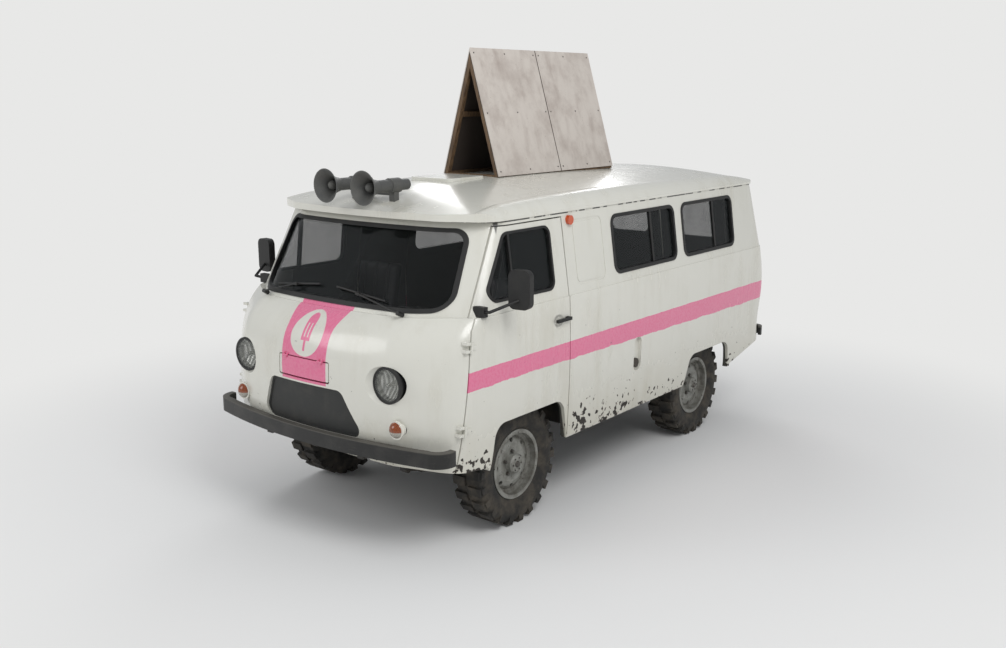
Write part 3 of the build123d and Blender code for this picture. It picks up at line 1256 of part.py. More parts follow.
with BuildPart() as sign_frame:
    for start, run in zip(board_starts, board_lengths):
        for side in (-1, 1):
            add(leaning(side, start, run, board_thickness, batten, 0, batten_width))
        for end in (0, 1):
            y = start + end * (run - batten_width)
            block(-sign_foot + 34, sign_foot - 34, y, y + batten_width, sign_foot_z - 20, sign_foot_z + 22)
    add(roof_outer, mode=Mode.SUBTRACT)
save(sign_frame.part, "sign_frame")

with BuildPart() as sign_boards:
    for start, run in zip(board_starts, board_lengths):
        for side in (-1, 1):
            add(leaning(side, start, run, 0, board_thickness, 14))
save(sign_boards.part, "sign_boards")
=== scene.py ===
# %% [markdown]
# # Dressing an ice cream truck
#
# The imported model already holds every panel, wheel and joint at its real size. This lesson gives
# those pieces their finish and adds what a step closer shows: wheel nuts, lamp ribs, mesh, seams,
# stitched seats. Distances are in metres, the nose faces -Y, and the driver's left is +X.

# %% Load the model
import json
import math
import bmesh
import bpy
from mathutils import Matrix, Vector


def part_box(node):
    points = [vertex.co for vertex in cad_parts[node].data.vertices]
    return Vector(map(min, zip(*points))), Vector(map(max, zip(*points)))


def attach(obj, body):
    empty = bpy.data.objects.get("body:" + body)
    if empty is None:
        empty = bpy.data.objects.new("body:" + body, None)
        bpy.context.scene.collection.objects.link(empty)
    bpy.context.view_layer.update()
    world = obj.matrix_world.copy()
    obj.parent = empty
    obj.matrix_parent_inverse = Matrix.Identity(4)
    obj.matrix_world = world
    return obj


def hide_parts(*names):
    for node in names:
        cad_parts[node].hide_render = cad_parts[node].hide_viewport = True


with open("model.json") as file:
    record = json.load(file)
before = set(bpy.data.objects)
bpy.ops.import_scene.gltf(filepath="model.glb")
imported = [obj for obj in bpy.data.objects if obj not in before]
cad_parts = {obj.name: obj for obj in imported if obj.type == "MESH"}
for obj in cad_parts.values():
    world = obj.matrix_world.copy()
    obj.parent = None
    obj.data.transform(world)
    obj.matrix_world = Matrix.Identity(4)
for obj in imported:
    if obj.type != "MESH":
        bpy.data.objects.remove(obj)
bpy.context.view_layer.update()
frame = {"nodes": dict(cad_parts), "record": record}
nodes = frame["nodes"]

# %% [markdown]
# ## Measures taken from the model
#
# Places along the truck are given from the front axle, and the rest from the boxes of the pieces
# that they belong to. Numbers that the model doesn't hold are named where they are first needed.

# %% Measures
wheel_names = ("front_left", "front_right", "rear_left", "rear_right")


def middle(node):
    """Centre of a node's box."""
    low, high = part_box(node)
    return (low + high) / 2


hubs = {name: middle(f"tyre_{name}") for name in wheel_names}
wheel_side = {name: (1 if hubs[name].x > 0 else -1) for name in wheel_names}
axle_z = hubs["front_left"].z
front_axle_y = hubs["front_left"].y
rear_axle_y = hubs["rear_left"].y
tyre_radius = axle_z
print("axles at", round(front_axle_y, 3), round(rear_axle_y, 3), "tyre radius", round(tyre_radius, 3))


def aft(distance):
    """Y of a place this far behind the front axle."""
    return front_axle_y + distance


# %% [markdown]
# ## The camera
#
# A photograph fixes the camera as well as the truck. Both near wheels, the symmetric nose and the
# upright pillars gave the place, the direction and the focal length used here.

# %% Camera
image_width = 1006.0
camera_place = Vector((4.61558, -6.11574, 2.63311))
camera_yaw, camera_pitch, camera_roll = -38.226, 12.307, -0.187
focal_pixels = 1048.56


def in_scene(name, data):
    """A new object of the scene for a mesh, curve, lamp or camera."""
    made = bpy.data.objects.new(name, data)
    bpy.context.scene.collection.objects.link(made)
    return made


def aim(camera, place, yaw, pitch, roll):
    """Places a camera by its heading from +Y, its tilt below the horizon and its roll, in degrees."""
    a, e, r = math.radians(yaw), math.radians(pitch), math.radians(roll)
    forward = Vector((math.cos(e) * math.sin(a), math.cos(e) * math.cos(a), -math.sin(e)))
    right = forward.cross(Vector((0, 0, 1))).normalized()
    up = right.cross(forward)
    turned_right = right * math.cos(r) + up * math.sin(r)
    turned_up = up * math.cos(r) - right * math.sin(r)
    turn = Matrix((turned_right, turned_up, -forward)).transposed()
    camera.matrix_world = Matrix.Translation(place) @ turn.to_4x4()


camera_data = bpy.data.cameras.new("camera")
camera_data.sensor_width = 36.0
camera_data.lens = 36.0 * focal_pixels / image_width
camera = in_scene("camera", camera_data)
aim(camera, camera_place, camera_yaw, camera_pitch, camera_roll)
bpy.context.scene.camera = camera
print("lens", round(camera_data.lens, 2), "mm")

# %% [markdown]
# ## Shader maths in plain Python
#
# A finish is a small graph of nodes. Written node by node it is long and hard to read, so the
# class `Value` wraps one socket and overloads the operators: `1 - mask * 0.5` then adds the Math
# nodes by itself. Everything that isn't arithmetic comes from one method, `Finish.node`.

# %% Shader helpers
class Value:
    """One socket of a finish, for use in expressions."""

    def __init__(self, finish, socket):
        self.finish = finish
        self.socket = socket

    def __add__(self, other):
        return self.finish.math("ADD", self, other)

    def __radd__(self, other):
        return self.finish.math("ADD", other, self)

    def __sub__(self, other):
        return self.finish.math("SUBTRACT", self, other)

    def __rsub__(self, other):
        return self.finish.math("SUBTRACT", other, self)

    def __mul__(self, other):
        return self.finish.math("MULTIPLY", self, other)

    def __rmul__(self, other):
        return self.finish.math("MULTIPLY", other, self)

    def __abs__(self):
        return self.finish.math("ABSOLUTE", self)

    def clip(self):
        return self.finish.node("ShaderNodeClamp", {}, {"Value": self})


class Finish:
    """A material in the making, with its Principled shader and Object coordinates."""

    def __init__(self, name):
        self.material = bpy.data.materials.new(name)
        self.material.use_nodes = True
        self.tree = self.material.node_tree
        self.tree.nodes.clear()
        self.shader = self.tree.nodes.new("ShaderNodeBsdfPrincipled")
        output = self.tree.nodes.new("ShaderNodeOutputMaterial")
        self.tree.links.new(self.shader.outputs["BSDF"], output.inputs["Surface"])
        self.place = self.node("ShaderNodeTexCoord", {}, {}, "Object")
        self.x, self.y, self.z = (self.node("ShaderNodeSeparateXYZ", {}, {"Vector": self.place}, axis)
                                  for axis in "XYZ")

    def node(self, kind, settings, sockets, output=0):
        """Adds a node, sets its settings and sockets, and gives back one of its outputs."""
        made = self.tree.nodes.new(kind)
        for key, value in settings.items():
            setattr(made, key, value)
        for key, value in sockets.items():
            self.connect(made.inputs[key], value)
        return Value(self, made.outputs[output])

    def connect(self, socket, value):
        if isinstance(value, Value):
            self.tree.links.new(value.socket, socket)
        else:
            socket.default_value = value

    def math(self, operation, first, second=0.0):
        return self.node("ShaderNodeMath", {"operation": operation}, {0: first, 1: second})

    def smooth(self, value, low, high):
        """0 below low, 1 above high, with a soft edge between."""
        return self.node("ShaderNodeMapRange", {"interpolation_type": "SMOOTHSTEP"},
                         {"Value": value, "From Min": low, "From Max": high})

    def larger(self, first, second):
        return self.math("MAXIMUM", first, second)

    def smaller(self, first, second):
        return self.math("MINIMUM", first, second)

    def band(self, value, low, high, soft):
        """1 between low and high, 0 outside, with soft edges."""
        return self.smooth(value, low - soft, low + soft) * self.within(value, high, soft)

    def within(self, value, limit, soft):
        """1 where a value is under a limit, 0 past it, with a soft edge."""
        return 1 - self.smooth(value, limit - soft, limit + soft)

    def length(self, first, second):
        """Length of a flat vector from its two parts."""
        return self.math("SQRT", first * first + second * second)

    def noise(self, scale, detail=4.0, rough=0.55, stretch=(1, 1, 1), shift=(0, 0, 0)):
        place = self.node("ShaderNodeMapping", {}, {"Vector": self.place, "Scale": stretch,
                                                    "Location": shift})
        return self.node("ShaderNodeTexNoise", {}, {"Vector": place, "Scale": scale, "Detail": detail,
                                                    "Roughness": rough}, "Fac")

    def blend(self, first, second, share):
        """Colour that goes from first to second as share goes from 0 to 1."""
        mixer = self.tree.nodes.new("ShaderNodeMix")
        mixer.data_type = "RGBA"
        by_name = {socket.identifier: socket for socket in mixer.inputs}
        self.connect(by_name["Factor_Float"], share)
        self.connect(by_name["A_Color"], first)
        self.connect(by_name["B_Color"], second)
        return Value(self, next(s for s in mixer.outputs if s.identifier == "Result_Color"))

    def finish(self, color, roughness, metallic=0.0, height=None, depth=0.001, **constants):
        """Feeds the shader, with height as a bump this deep in metres."""
        self.connect(self.shader.inputs["Base Color"], color)
        self.connect(self.shader.inputs["Roughness"], roughness)
        self.connect(self.shader.inputs["Metallic"], metallic)
        if height is not None:
            normal = self.node("ShaderNodeBump", {}, {"Height": height, "Distance": depth, "Strength": 1.0},
                               "Normal")
            self.connect(self.shader.inputs["Normal"], normal)
        for key, value in constants.items():
            self.connect(self.shader.inputs[key.replace("_", " ")], value)
        return self.material


def shade(red, green, blue):
    """Linear colour from screen values of 0 to 255."""
    def linear(v):
        v = v / 255
        return v / 12.92 if v <= 0.04045 else ((v + 0.055) / 1.055) ** 2.4
    return (linear(red), linear(green), linear(blue), 1.0)


# %% [markdown]
# ## Body paint: stripe and nose band
#
# The truck is painted by masks, each 1 where its colour shows. They are worked out from Object
# coordinates, so each door carries its part of the stripe when it opens. The pink was painted by
# hand, so slow noise makes its edges wander.

# %% Stripe and nose band
# the front door's leading seam, which leans back with height
seam_foot_y, seam_foot_z, seam_lean = aft(-0.679), 0.48, 0.1312
stripe_top_z = 1.117
stripe_low_z = (1.007, 0.974)  # at the front and at the back
stripe_edge, band_edge = 0.0015, 0.002
band_low_z, band_high_z = 0.99, 1.425
band_half = 0.19
badge_z, badge_radius = 1.268, 0.131
flap_top_z = 1.131
# the lolly in the disc, with heights from the disc's middle
lolly_half, lolly_up = 0.037, (-0.035, 0.075)
stick_half, stick_up = 0.009, (-0.095, -0.03)
groove_x, groove_half, groove_up = 0.014, 0.004, (-0.015, 0.06)


def stripe_mask(paint, wander, fine_wander):
    """The stripe along both sides, from the front doors' seam to the tail."""
    y, z = paint.y, paint.z
    past_seam = y - (z - seam_foot_z) * seam_lean
    along = paint.smooth(y, seam_foot_y, 2.0)
    low_edge = (stripe_low_z[0] + (stripe_low_z[1] - stripe_low_z[0]) * along
                + wander * 0.03 + fine_wander * 0.008)
    high_edge = stripe_top_z + wander * 0.012 + fine_wander * 0.006
    return (paint.smooth(z - low_edge, -stripe_edge, stripe_edge)
            * paint.within(z - high_edge, 0.0, stripe_edge)
            * paint.smooth(abs(paint.x), 0.88, 0.89)
            * paint.smooth(past_seam, seam_foot_y - 0.003, seam_foot_y - 0.001))


def nose_mask(paint, front, wander, fine_wander):
    """The band on the nose, with a bare disc in it that holds a lolly."""
    side_x, z = abs(paint.x), paint.z
    spread = paint.smooth(z, 1.30, band_high_z) * 0.03
    band = paint.within(side_x - spread + fine_wander * 0.004, band_half, band_edge)
    band = band * paint.band(z, band_low_z, band_high_z + 0.05, band_edge) * front
    up = z - badge_z
    disc = paint.within(paint.length(paint.x, up * 1.03) + wander * 0.006, badge_radius, band_edge)
    disc = disc * paint.smooth(z, flap_top_z, flap_top_z + band_edge)
    lolly = paint.within(side_x, lolly_half, 0.001) * paint.band(up, *lolly_up, 0.001)
    crown = paint.within(paint.length(paint.x, up - lolly_up[1]), lolly_half, 0.001)
    stick = paint.within(side_x, stick_half, 0.0005) * paint.band(up, *stick_up, 0.001)
    groove = paint.within(abs(side_x - groove_x), groove_half, 0.0005) * paint.band(up, *groove_up, 0.001)
    motif = (paint.larger(paint.larger(lolly, crown), stick) - groove).clip()
    return (band * (1 - disc) + disc * motif * front).clip()


# %% [markdown]
# ## Body paint: rust, and a painted shadow under the roof's lip
#
# Rust breaks through where stones and water hit: along the sill, round the arches and low on the
# nose. `reach` says how easily it does so at a place, and lowers the level that the noise has to
# pass. A painted shadow lies under the roof's lip as a broken dark line.

# %% Rust
gutter_z = 1.925
sill_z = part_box("side_panel_left")[0].z


def rust_masks(paint, front):
    """Dark chips, and the brown stain round them."""
    y, z = paint.y, paint.z
    sill = 1 - paint.smooth(z, sill_z, sill_z + 0.30)
    behind_arch = paint.smooth(y, aft(0.40), aft(0.45)) * (1 - paint.smooth(y, aft(1.0), aft(1.7)))
    before_arch = (1 - paint.smooth(y, aft(-0.46), aft(-0.30))) * paint.smooth(y, aft(-0.75), aft(-0.68))
    high_reach = (1 - paint.smooth(z, sill_z, sill_z + 0.42)) * paint.larger(behind_arch, before_arch)
    reach = paint.larger(sill * 0.75, high_reach) * paint.smooth(abs(paint.x), 0.6, 0.85)
    nose_reach = (1 - paint.smooth(z, 0.62, 0.95)) * 0.35 * front
    reach = paint.larger(reach, nose_reach)
    spots = paint.noise(25.0, 2.5, 0.5)
    patches = paint.noise(5.0, 2.0, 0.5, shift=(1, 4, 2))
    level = 0.82 - reach * 0.25 - paint.smooth(patches, 0.42, 0.60) * reach * 0.10
    chip = paint.smooth(spots - level, -0.008, 0.008)
    stain = paint.smooth(spots - level, -0.03, 0.0)
    rare = paint.noise(33.0, 3.0, 0.5, shift=(3, 5, 1))
    rare = paint.smooth(rare, 0.735, 0.745) * paint.smooth(2.0 - z, 0.3, 1.4)
    return paint.larger(chip, rare), stain


def lip_shadow_mask(paint):
    """Broken dark line under the roof's lip: a painted shadow, in dashes."""
    dashes = paint.noise(26.0, 3.0, 0.5, stretch=(0.5, 0.5, 0.1))
    line = paint.band(paint.z, gutter_z - 0.0105, gutter_z - 0.001, 0.0008)
    return line * paint.smooth(dashes, 0.44, 0.50)


# %% [markdown]
# ## Body paint: painted shade in the cabin
#
# A panel is one piece with two sides, and the cabin's side gets painted shade in dark grey. What
# tells them apart is the depth under the outer skin: walls lean in above the belt, the tail leans in
# above and below its fullest part, and the corner between them is round.

# %% Cabin side
belt_z = 1.408
wall_x, wall_lean = 0.962, 0.139
tail_out, tail_lean_z, tail_lean = 0.99, 1.19, 0.198
tail_foot_z, tail_foot_lean = 1.0, 0.155
corner_radius = 0.125
skin_start, skin_end = 0.026, 0.031
cabin_start_y = aft(-0.24)


def cabin_shade_mask(paint):
    """The sides of panels that face the cabin, behind the windscreen's pillars, where dark grey is painted
    as shade.
    """
    y, z = paint.y, paint.z
    half_width = wall_x - paint.smaller(paint.larger(z - belt_z, 0.0), gutter_z - belt_z) * wall_lean
    tail_y = (rear_axle_y + tail_out - paint.larger(z - tail_lean_z, 0.0) * tail_lean
              - paint.larger(tail_foot_z - z, 0.0) * tail_foot_lean)
    in_side = paint.larger(corner_radius - (half_width - abs(paint.x)), 0.0)
    in_tail = paint.larger(corner_radius - (tail_y - y), 0.0)
    skin_depth = corner_radius - paint.length(in_side, in_tail)
    return (paint.smooth(skin_depth, skin_start, skin_end)
            * paint.smooth(y, cabin_start_y, cabin_start_y + 0.01)
            * (1 - paint.smooth(z, gutter_z, gutter_z + 0.002)))


# %% [markdown]
# ## Body paint: all of it
#
# The masks go over each other in the order of a real painter and of the years after: cream with
# yellowish grime that runs down it, pink, rust, a painted shadow under the roof's lip and painted
# shade on the cabin's side. A faint peel, soft dents and the dimple behind each door handle are bumps.

# %% Body paint
cream = shade(217, 216, 207)
cream_grime = shade(180, 174, 154)
# dark grey painted as shade on the cabin's side of the panels
cabin_shade_gray = shade(74, 73, 68)
pink = shade(222, 104, 144)
pale_pink = shade(226, 146, 172)
rust_brown = shade(96, 62, 40)
# dark of the rust chips, also used for the painted shadow under the roof's lip
rust_and_shadow_dark = shade(28, 23, 20)
nose_end_y = (aft(-0.62), aft(-0.60))
scoop_middle_y, scoop_middle_z, scoop_stretch = aft(0.262), 1.270, 0.72


def body_paint(name):
    """Cream paint with its pink, its grime and its rust."""
    paint = Finish(name)
    y, z = paint.y, paint.z
    wander = paint.noise(7.0, 5.0) - 0.5
    fine_wander = paint.noise(45.0, 3.0) - 0.5
    streaks = paint.noise(9.0, 5.0, 0.6, stretch=(1, 1, 0.12))
    clouds = paint.noise(1.7, 6.0, 0.6)
    grime = paint.smooth(streaks * 0.55 + clouds * 0.55, 0.48, 0.85)
    low_dirt = 1 - paint.smooth(z + wander * 0.25, sill_z, sill_z + 0.45)
    grime = (grime * 0.45 + low_dirt * 0.3).clip()
    color = paint.blend(cream, cream_grime, grime)

    front = 1 - paint.smooth(y, *nose_end_y)
    pink_mask = paint.larger(stripe_mask(paint, wander, fine_wander),
                             nose_mask(paint, front, wander, fine_wander))
    worn = paint.smooth(paint.noise(60.0, 4.0), 0.35, 0.6)
    color = paint.blend(color, paint.blend(pink, pale_pink, worn * 0.25 + clouds * 0.2), pink_mask)

    chip, stain = rust_masks(paint, front)
    color = paint.blend(color, rust_brown, stain * 0.5)
    color = paint.blend(color, rust_and_shadow_dark, chip * 0.94)
    # painted shadow: a broken dark line under the roof's lip
    color = paint.blend(color, rust_and_shadow_dark, lip_shadow_mask(paint) * 0.85)
    # painted shade: the cabin's side of each panel turns dark grey
    cabin_shade = cabin_shade_mask(paint)
    color = paint.blend(color, cabin_shade_gray, cabin_shade)

    peel = paint.noise(170.0, 2.0)
    dents = paint.noise(2.6, 2.0)
    from_handle = paint.length((y - scoop_middle_y) * scoop_stretch, z - scoop_middle_z)
    scoop = (1 - paint.smooth(from_handle, 0.022, 0.042)) * paint.smooth(abs(paint.x), 0.90, 0.93)
    height = peel * 0.03 + dents * 1.2 - chip * 0.35 - scoop * 6.0
    roughness = 0.24 + grime * 0.25 + chip * 0.45 + cabin_shade * 0.2
    return paint.finish(color, roughness, height=height, depth=0.0016, Coat_Weight=(1 - chip) * 0.35,
                        Coat_Roughness=0.12)


body_finish = body_paint("body_paint")
print("body paint has", len(body_finish.node_tree.nodes), "nodes")

# %% [markdown]
# ## Black paint, grey wheels and rubber
#
# The other finishes are simpler, but none is one flat colour: pale dust lies over them in clouds,
# the bumper's top lip carries a painted highlight in dull grey, and wheels keep mud, with painted
# shade in the corner between disc and rim.

# %% Plain finishes
def dusty(name, base, dust, roughness, scale=6.0, share=0.5, metallic=0.0):
    """A paint or plastic with uneven dust over it."""
    paint = Finish(name)
    clouds = paint.noise(scale, 6.0, 0.6)
    grains = paint.noise(scale * 22, 3.0)
    amount = paint.smooth(clouds * 0.7 + grains * 0.3, 0.4, 0.75) * share
    color = paint.blend(base, dust, amount)
    return paint.finish(color, roughness + amount * 0.3, metallic, height=grains, depth=0.0006)


def bumper_black(name):
    """Black paint, scratched, with a painted highlight in dull grey along its top lip."""
    paint = Finish(name)
    clouds = paint.noise(8.0, 6.0, 0.6)
    scratches = paint.noise(60.0, 4.0, 0.6, stretch=(0.3, 0.3, 2.0))
    # painted highlight: a dull grey band along the top lip
    lip_highlight = paint.smooth(paint.z, 0.698, 0.705) * (1 - paint.smooth(paint.z, 0.72, 0.73))
    # worn holds the painted highlight of the lip and the real wear of the scratches
    worn = (lip_highlight * 0.75 + paint.smooth(scratches, 0.62, 0.72) * 0.3).clip()
    color = paint.blend(shade(28, 28, 27), shade(58, 56, 53), paint.smooth(clouds, 0.4, 0.7) * 0.5)
    color = paint.blend(color, shade(96, 93, 87), worn)
    return paint.finish(color, 0.45 + worn * 0.2, height=scratches, depth=0.0006)


bumper_finish = bumper_black("bumper_black")
black_paint = dusty("black_paint", shade(34, 33, 32), shade(86, 82, 76), 0.42, share=0.35)
chassis_paint = dusty("chassis_paint", shade(38, 37, 36), shade(104, 94, 80), 0.6, share=0.6)
engine_iron = dusty("engine_iron", shade(84, 82, 78), shade(120, 108, 92), 0.6, metallic=0.3)
exhaust_steel = dusty("exhaust_steel", shade(96, 78, 64), shade(120, 84, 56), 0.62, metallic=0.5)
dash_paint = dusty("dash_paint", shade(60, 62, 62), shade(98, 95, 88), 0.45, share=0.3)
black_plastic = dusty("black_plastic", shade(26, 26, 26), shade(74, 72, 68), 0.48, share=0.3)
seal_rubber = dusty("seal_rubber", shade(20, 20, 20), shade(70, 68, 64), 0.55, share=0.25)
horn_paint = dusty("horn_paint", shade(74, 75, 74), shade(120, 118, 110), 0.5, share=0.45)
mat_rubber = dusty("mat_rubber", shade(52, 51, 49), shade(96, 88, 76), 0.75, share=0.5)
seat_vinyl = dusty("seat_vinyl", shade(34, 34, 36), shade(80, 78, 74), 0.38, scale=9.0, share=0.25)


def from_hub(paint):
    """Distance of a point from the nearer axle's centre line."""
    mid_y = (front_axle_y + rear_axle_y) / 2
    half_base = (rear_axle_y - front_axle_y) / 2
    return paint.length(abs(abs(paint.y - mid_y) - half_base), paint.z - axle_z)


def wheel_paint(name):
    """Grey paint with patchy mud, and painted shade in the corner between disc and rim."""
    paint = Finish(name)
    radius = from_hub(paint)
    mud = paint.noise(14.0, 6.0, 0.65)
    grains = paint.noise(160.0, 3.0)
    # painted shade in the corner between disc and rim
    corner_shade = paint.band(radius, 0.155, 0.205, 0.02)
    # amount holds the patchy mud and the painted shade of the corner
    amount = (paint.smooth(mud, 0.38, 0.68) * 0.55 + corner_shade * 0.35).clip()
    color = paint.blend(shade(142, 142, 136), shade(82, 78, 70), amount)
    chips = paint.smooth(paint.noise(55.0, 4.0), 0.66, 0.69)
    color = paint.blend(color, shade(52, 42, 34), chips)
    return paint.finish(color, 0.42 + amount * 0.35, 0.1, height=grains * 0.3 - chips, depth=0.0006)


def tyre_rubber(name):
    """Dusty rubber with fine moulded rings on its side walls."""
    paint = Finish(name)
    radius = from_hub(paint)
    dust = paint.noise(11.0, 6.0, 0.62)
    amount = paint.smooth(dust, 0.35, 0.72) * 0.6
    side_wall = 1 - paint.smooth(radius, tyre_radius - 0.05, tyre_radius - 0.03)
    rings = paint.math("SINE", radius * 900.0) * side_wall * paint.band(radius, 0.235, 0.30, 0.004)
    grains = paint.noise(230.0, 3.0)
    color = paint.blend(shade(36, 35, 33), shade(92, 84, 72), amount)
    return paint.finish(color, 0.78, height=rings * 0.5 + grains * 0.6, depth=0.0012)


wheel_finish = wheel_paint("wheel_paint")
tyre_finish = tyre_rubber("tyre_rubber")

# %% [markdown]
# ## Glass, lenses and lamps
#
# Sheet glass on a van is seen at two angles: straight on it is nearly clear, and at a slant it
# mirrors the sky. Layer Weight gives that change to Alpha, with a dark tint behind it.

# %% Glass and lenses
lamp_x, lamp_z, lamp_face_y = 0.611, 1.05, aft(-0.893)
lamp_rim_radius = 0.092
signal_x, signal_z, signal_base_y = 0.669, 0.80, aft(-0.893)
signal_ring_radius, signal_split_z = 0.048, 0.7945


def window_glass(name, tint, clear):
    """Dark tinted sheet that lets less light through at a slant."""
    glass = Finish(name)
    edge = glass.node("ShaderNodeLayerWeight", {}, {"Blend": 0.25}, "Fresnel")
    film = glass.noise(5.0, 5.0, 0.6)
    alpha = (clear + edge * 0.55 + glass.smooth(film, 0.45, 0.8) * 0.05).clip()
    return glass.finish(tint, 0.03, Alpha=alpha, IOR=1.5, Specular_IOR_Level=0.8)


glass_finish = window_glass("window_glass", shade(30, 34, 34), 0.14)


def clear_lens(name):
    """Clear glass with upright moulded ribs."""
    lens = Finish(name)
    ribs = lens.math("SINE", lens.x * 520.0)
    return lens.finish(shade(150, 152, 148), 0.06, height=ribs, depth=0.0006, Alpha=0.22,
                       IOR=1.45, Specular_IOR_Level=0.8)


def two_color_lens(name):
    """Amber above and clear below on the nose, amber all over at the side, red behind, with painted
    highlights and shade on the facets.
    """
    lens = Finish(name)
    rings = lens.noise(60.0, 2.0)
    nose = 1 - lens.smooth(lens.y, aft(-0.5), aft(-0.4))
    tail = lens.smooth(lens.y, 1.5, 1.6)
    upper = lens.smooth(lens.z, signal_split_z - 0.0025, signal_split_z + 0.0025)
    radius = lens.length(abs(lens.x) - signal_x, lens.z - signal_z)
    ring = lens.smooth(radius, signal_ring_radius - 0.0005, signal_ring_radius + 0.0005)
    base = lens.smooth(lens.y, signal_base_y, signal_base_y + 0.001)
    # painted highlights and shade on the facets: lighter and darker cells in the amber and in the clear
    facet_highlights = lens.math("SINE", lens.x * 900.0) * lens.math("SINE", lens.z * 900.0)
    facet_highlights = lens.smooth(facet_highlights, -0.4, 0.6)
    amber = lens.blend(shade(66, 28, 8), shade(178, 84, 26), facet_highlights)
    clear = lens.blend(shade(120, 116, 108), shade(205, 200, 188), facet_highlights)
    color = lens.blend(clear, amber, upper)
    color = lens.blend(color, shade(222, 220, 210), lens.larger(ring, base))
    color = lens.blend(shade(196, 74, 26), color, nose)
    color = lens.blend(color, shade(150, 24, 20), tail)
    return lens.finish(color, 0.12, height=rings, depth=0.0008, Coat_Weight=0.5)


def bright_metal(name):
    """Polished metal with a few smudges."""
    metal = Finish(name)
    smudge = metal.noise(30.0, 4.0)
    color = metal.blend(shade(205, 205, 200), shade(150, 148, 142), smudge)
    return metal.finish(color, 0.1 + smudge * 0.2, 1.0)


lens_finish = clear_lens("clear_lens")
marker_finish = two_color_lens("marker_lens")
bowl_finish = bright_metal("lamp_bowl")


def lamp_bowl(name):
    """Ribbed bowl with painted highlights and shade on its ribs, and a black rim round it."""
    bowl = Finish(name)
    radius = bowl.length(abs(bowl.x) - lamp_x, bowl.z - lamp_z)
    rim = bowl.smooth(radius, lamp_rim_radius - 0.0005, lamp_rim_radius + 0.0005)
    ribs = bowl.math("SINE", bowl.x * 300.0)
    # painted highlights and shade on the ribs, lighter and darker in turn
    rib_highlights_and_shade = bowl.smooth(ribs, -0.6, 0.9)
    color = bowl.blend(shade(150, 150, 144), shade(236, 236, 230), rib_highlights_and_shade)
    color = bowl.blend(color, shade(24, 24, 24), rim)
    return bowl.finish(color, 0.32 + rim * 0.15, 1 - rim, height=ribs * (1 - rim), depth=0.001)


def grille_mesh(name):
    """Dark plate with a fine mesh of holes inside a plain rim, the holes painted near black as shade."""
    grille = Finish(name)
    weave = grille.math("SINE", grille.x * 780.0) * grille.math("SINE", grille.z * 780.0)
    shaded_holes = grille.smooth(weave, 0.1, 0.5)
    dust = grille.noise(9.0, 6.0, 0.6)
    color = grille.blend(shade(56, 57, 56), shade(84, 82, 76), grille.smooth(dust, 0.45, 0.75) * 0.5)
    # painted shade: the holes are drawn near black for the dark space behind the mesh
    color = grille.blend(color, shade(20, 20, 20), shaded_holes * 0.8)
    return grille.finish(color, 0.6, height=0 - shaded_holes, depth=0.0015)


headlamp_finish = lamp_bowl("headlamp_bowl")
grille_finish = grille_mesh("grille_mesh")

# %% [markdown]
# ## Sign: stained boards and their wood
#
# The boards are blank sheets that have stood in the rain: an off-white ground with pale grey runs
# and a dark joint between the two. The frame behind them is brown stained softwood.

# %% Sign finishes
sign_low, sign_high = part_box("sign_boards")
sign_foot_x, sign_foot_z = 0.25, 2.09
face_run = math.hypot(sign_foot_x, sign_high.z - sign_foot_z)
face_angle = math.atan2(sign_foot_x, sign_high.z - sign_foot_z)
board_joint = (0.722, 0.725)  # where one board ends and the next begins, from the sign's front


def sign_sheet(name):
    """White sheet with grey runs outside, and painted shade in dark brown on its inner faces."""
    sheet = Finish(name)
    stains = sheet.noise(4.5, 7.0, 0.65)
    runs = sheet.noise(12.0, 5.0, 0.6, stretch=(1, 1, 0.15))
    amount = (sheet.smooth(stains, 0.4, 0.7) * 0.6 + sheet.smooth(runs, 0.45, 0.75) * 0.4).clip()
    color = sheet.blend(shade(206, 198, 190), shade(168, 156, 148), amount)
    specks = sheet.smooth(sheet.noise(90.0, 3.0), 0.68, 0.74)
    color = sheet.blend(color, shade(128, 112, 100), specks * 0.6)
    # painted shade: the inner faces, more than 5 mm in from the outer face, turn dark brown
    depth = ((sign_foot_x - abs(sheet.x)) * math.cos(face_angle)
             - (sheet.z - sign_foot_z) * math.sin(face_angle))
    color = sheet.blend(color, shade(58, 50, 44), sheet.smooth(depth, 0.005, 0.008))
    from_joint = abs(sheet.y - (sign_low.y + sum(board_joint) / 2))
    color = sheet.blend(color, shade(58, 46, 38), 1 - sheet.smooth(from_joint, 0.002, 0.006))
    return sheet.finish(color, 0.75, height=stains * 0.5 + specks * 0.5, depth=0.001)


def stained_wood(name):
    """Brown softwood with its grain upright."""
    wood = Finish(name)
    grain = wood.noise(26.0, 6.0, 0.6, stretch=(3, 3, 0.18))
    color = wood.blend(shade(112, 88, 62), shade(70, 52, 36), wood.smooth(grain, 0.35, 0.7))
    return wood.finish(color, 0.65, height=grain, depth=0.0012)


board_finish = sign_sheet("sign_sheet")
wood_finish = stained_wood("stained_wood")

# %% [markdown]
# ## Giving the finishes to the model
#
# A model piece keeps its shape and only gets a material in its slots.

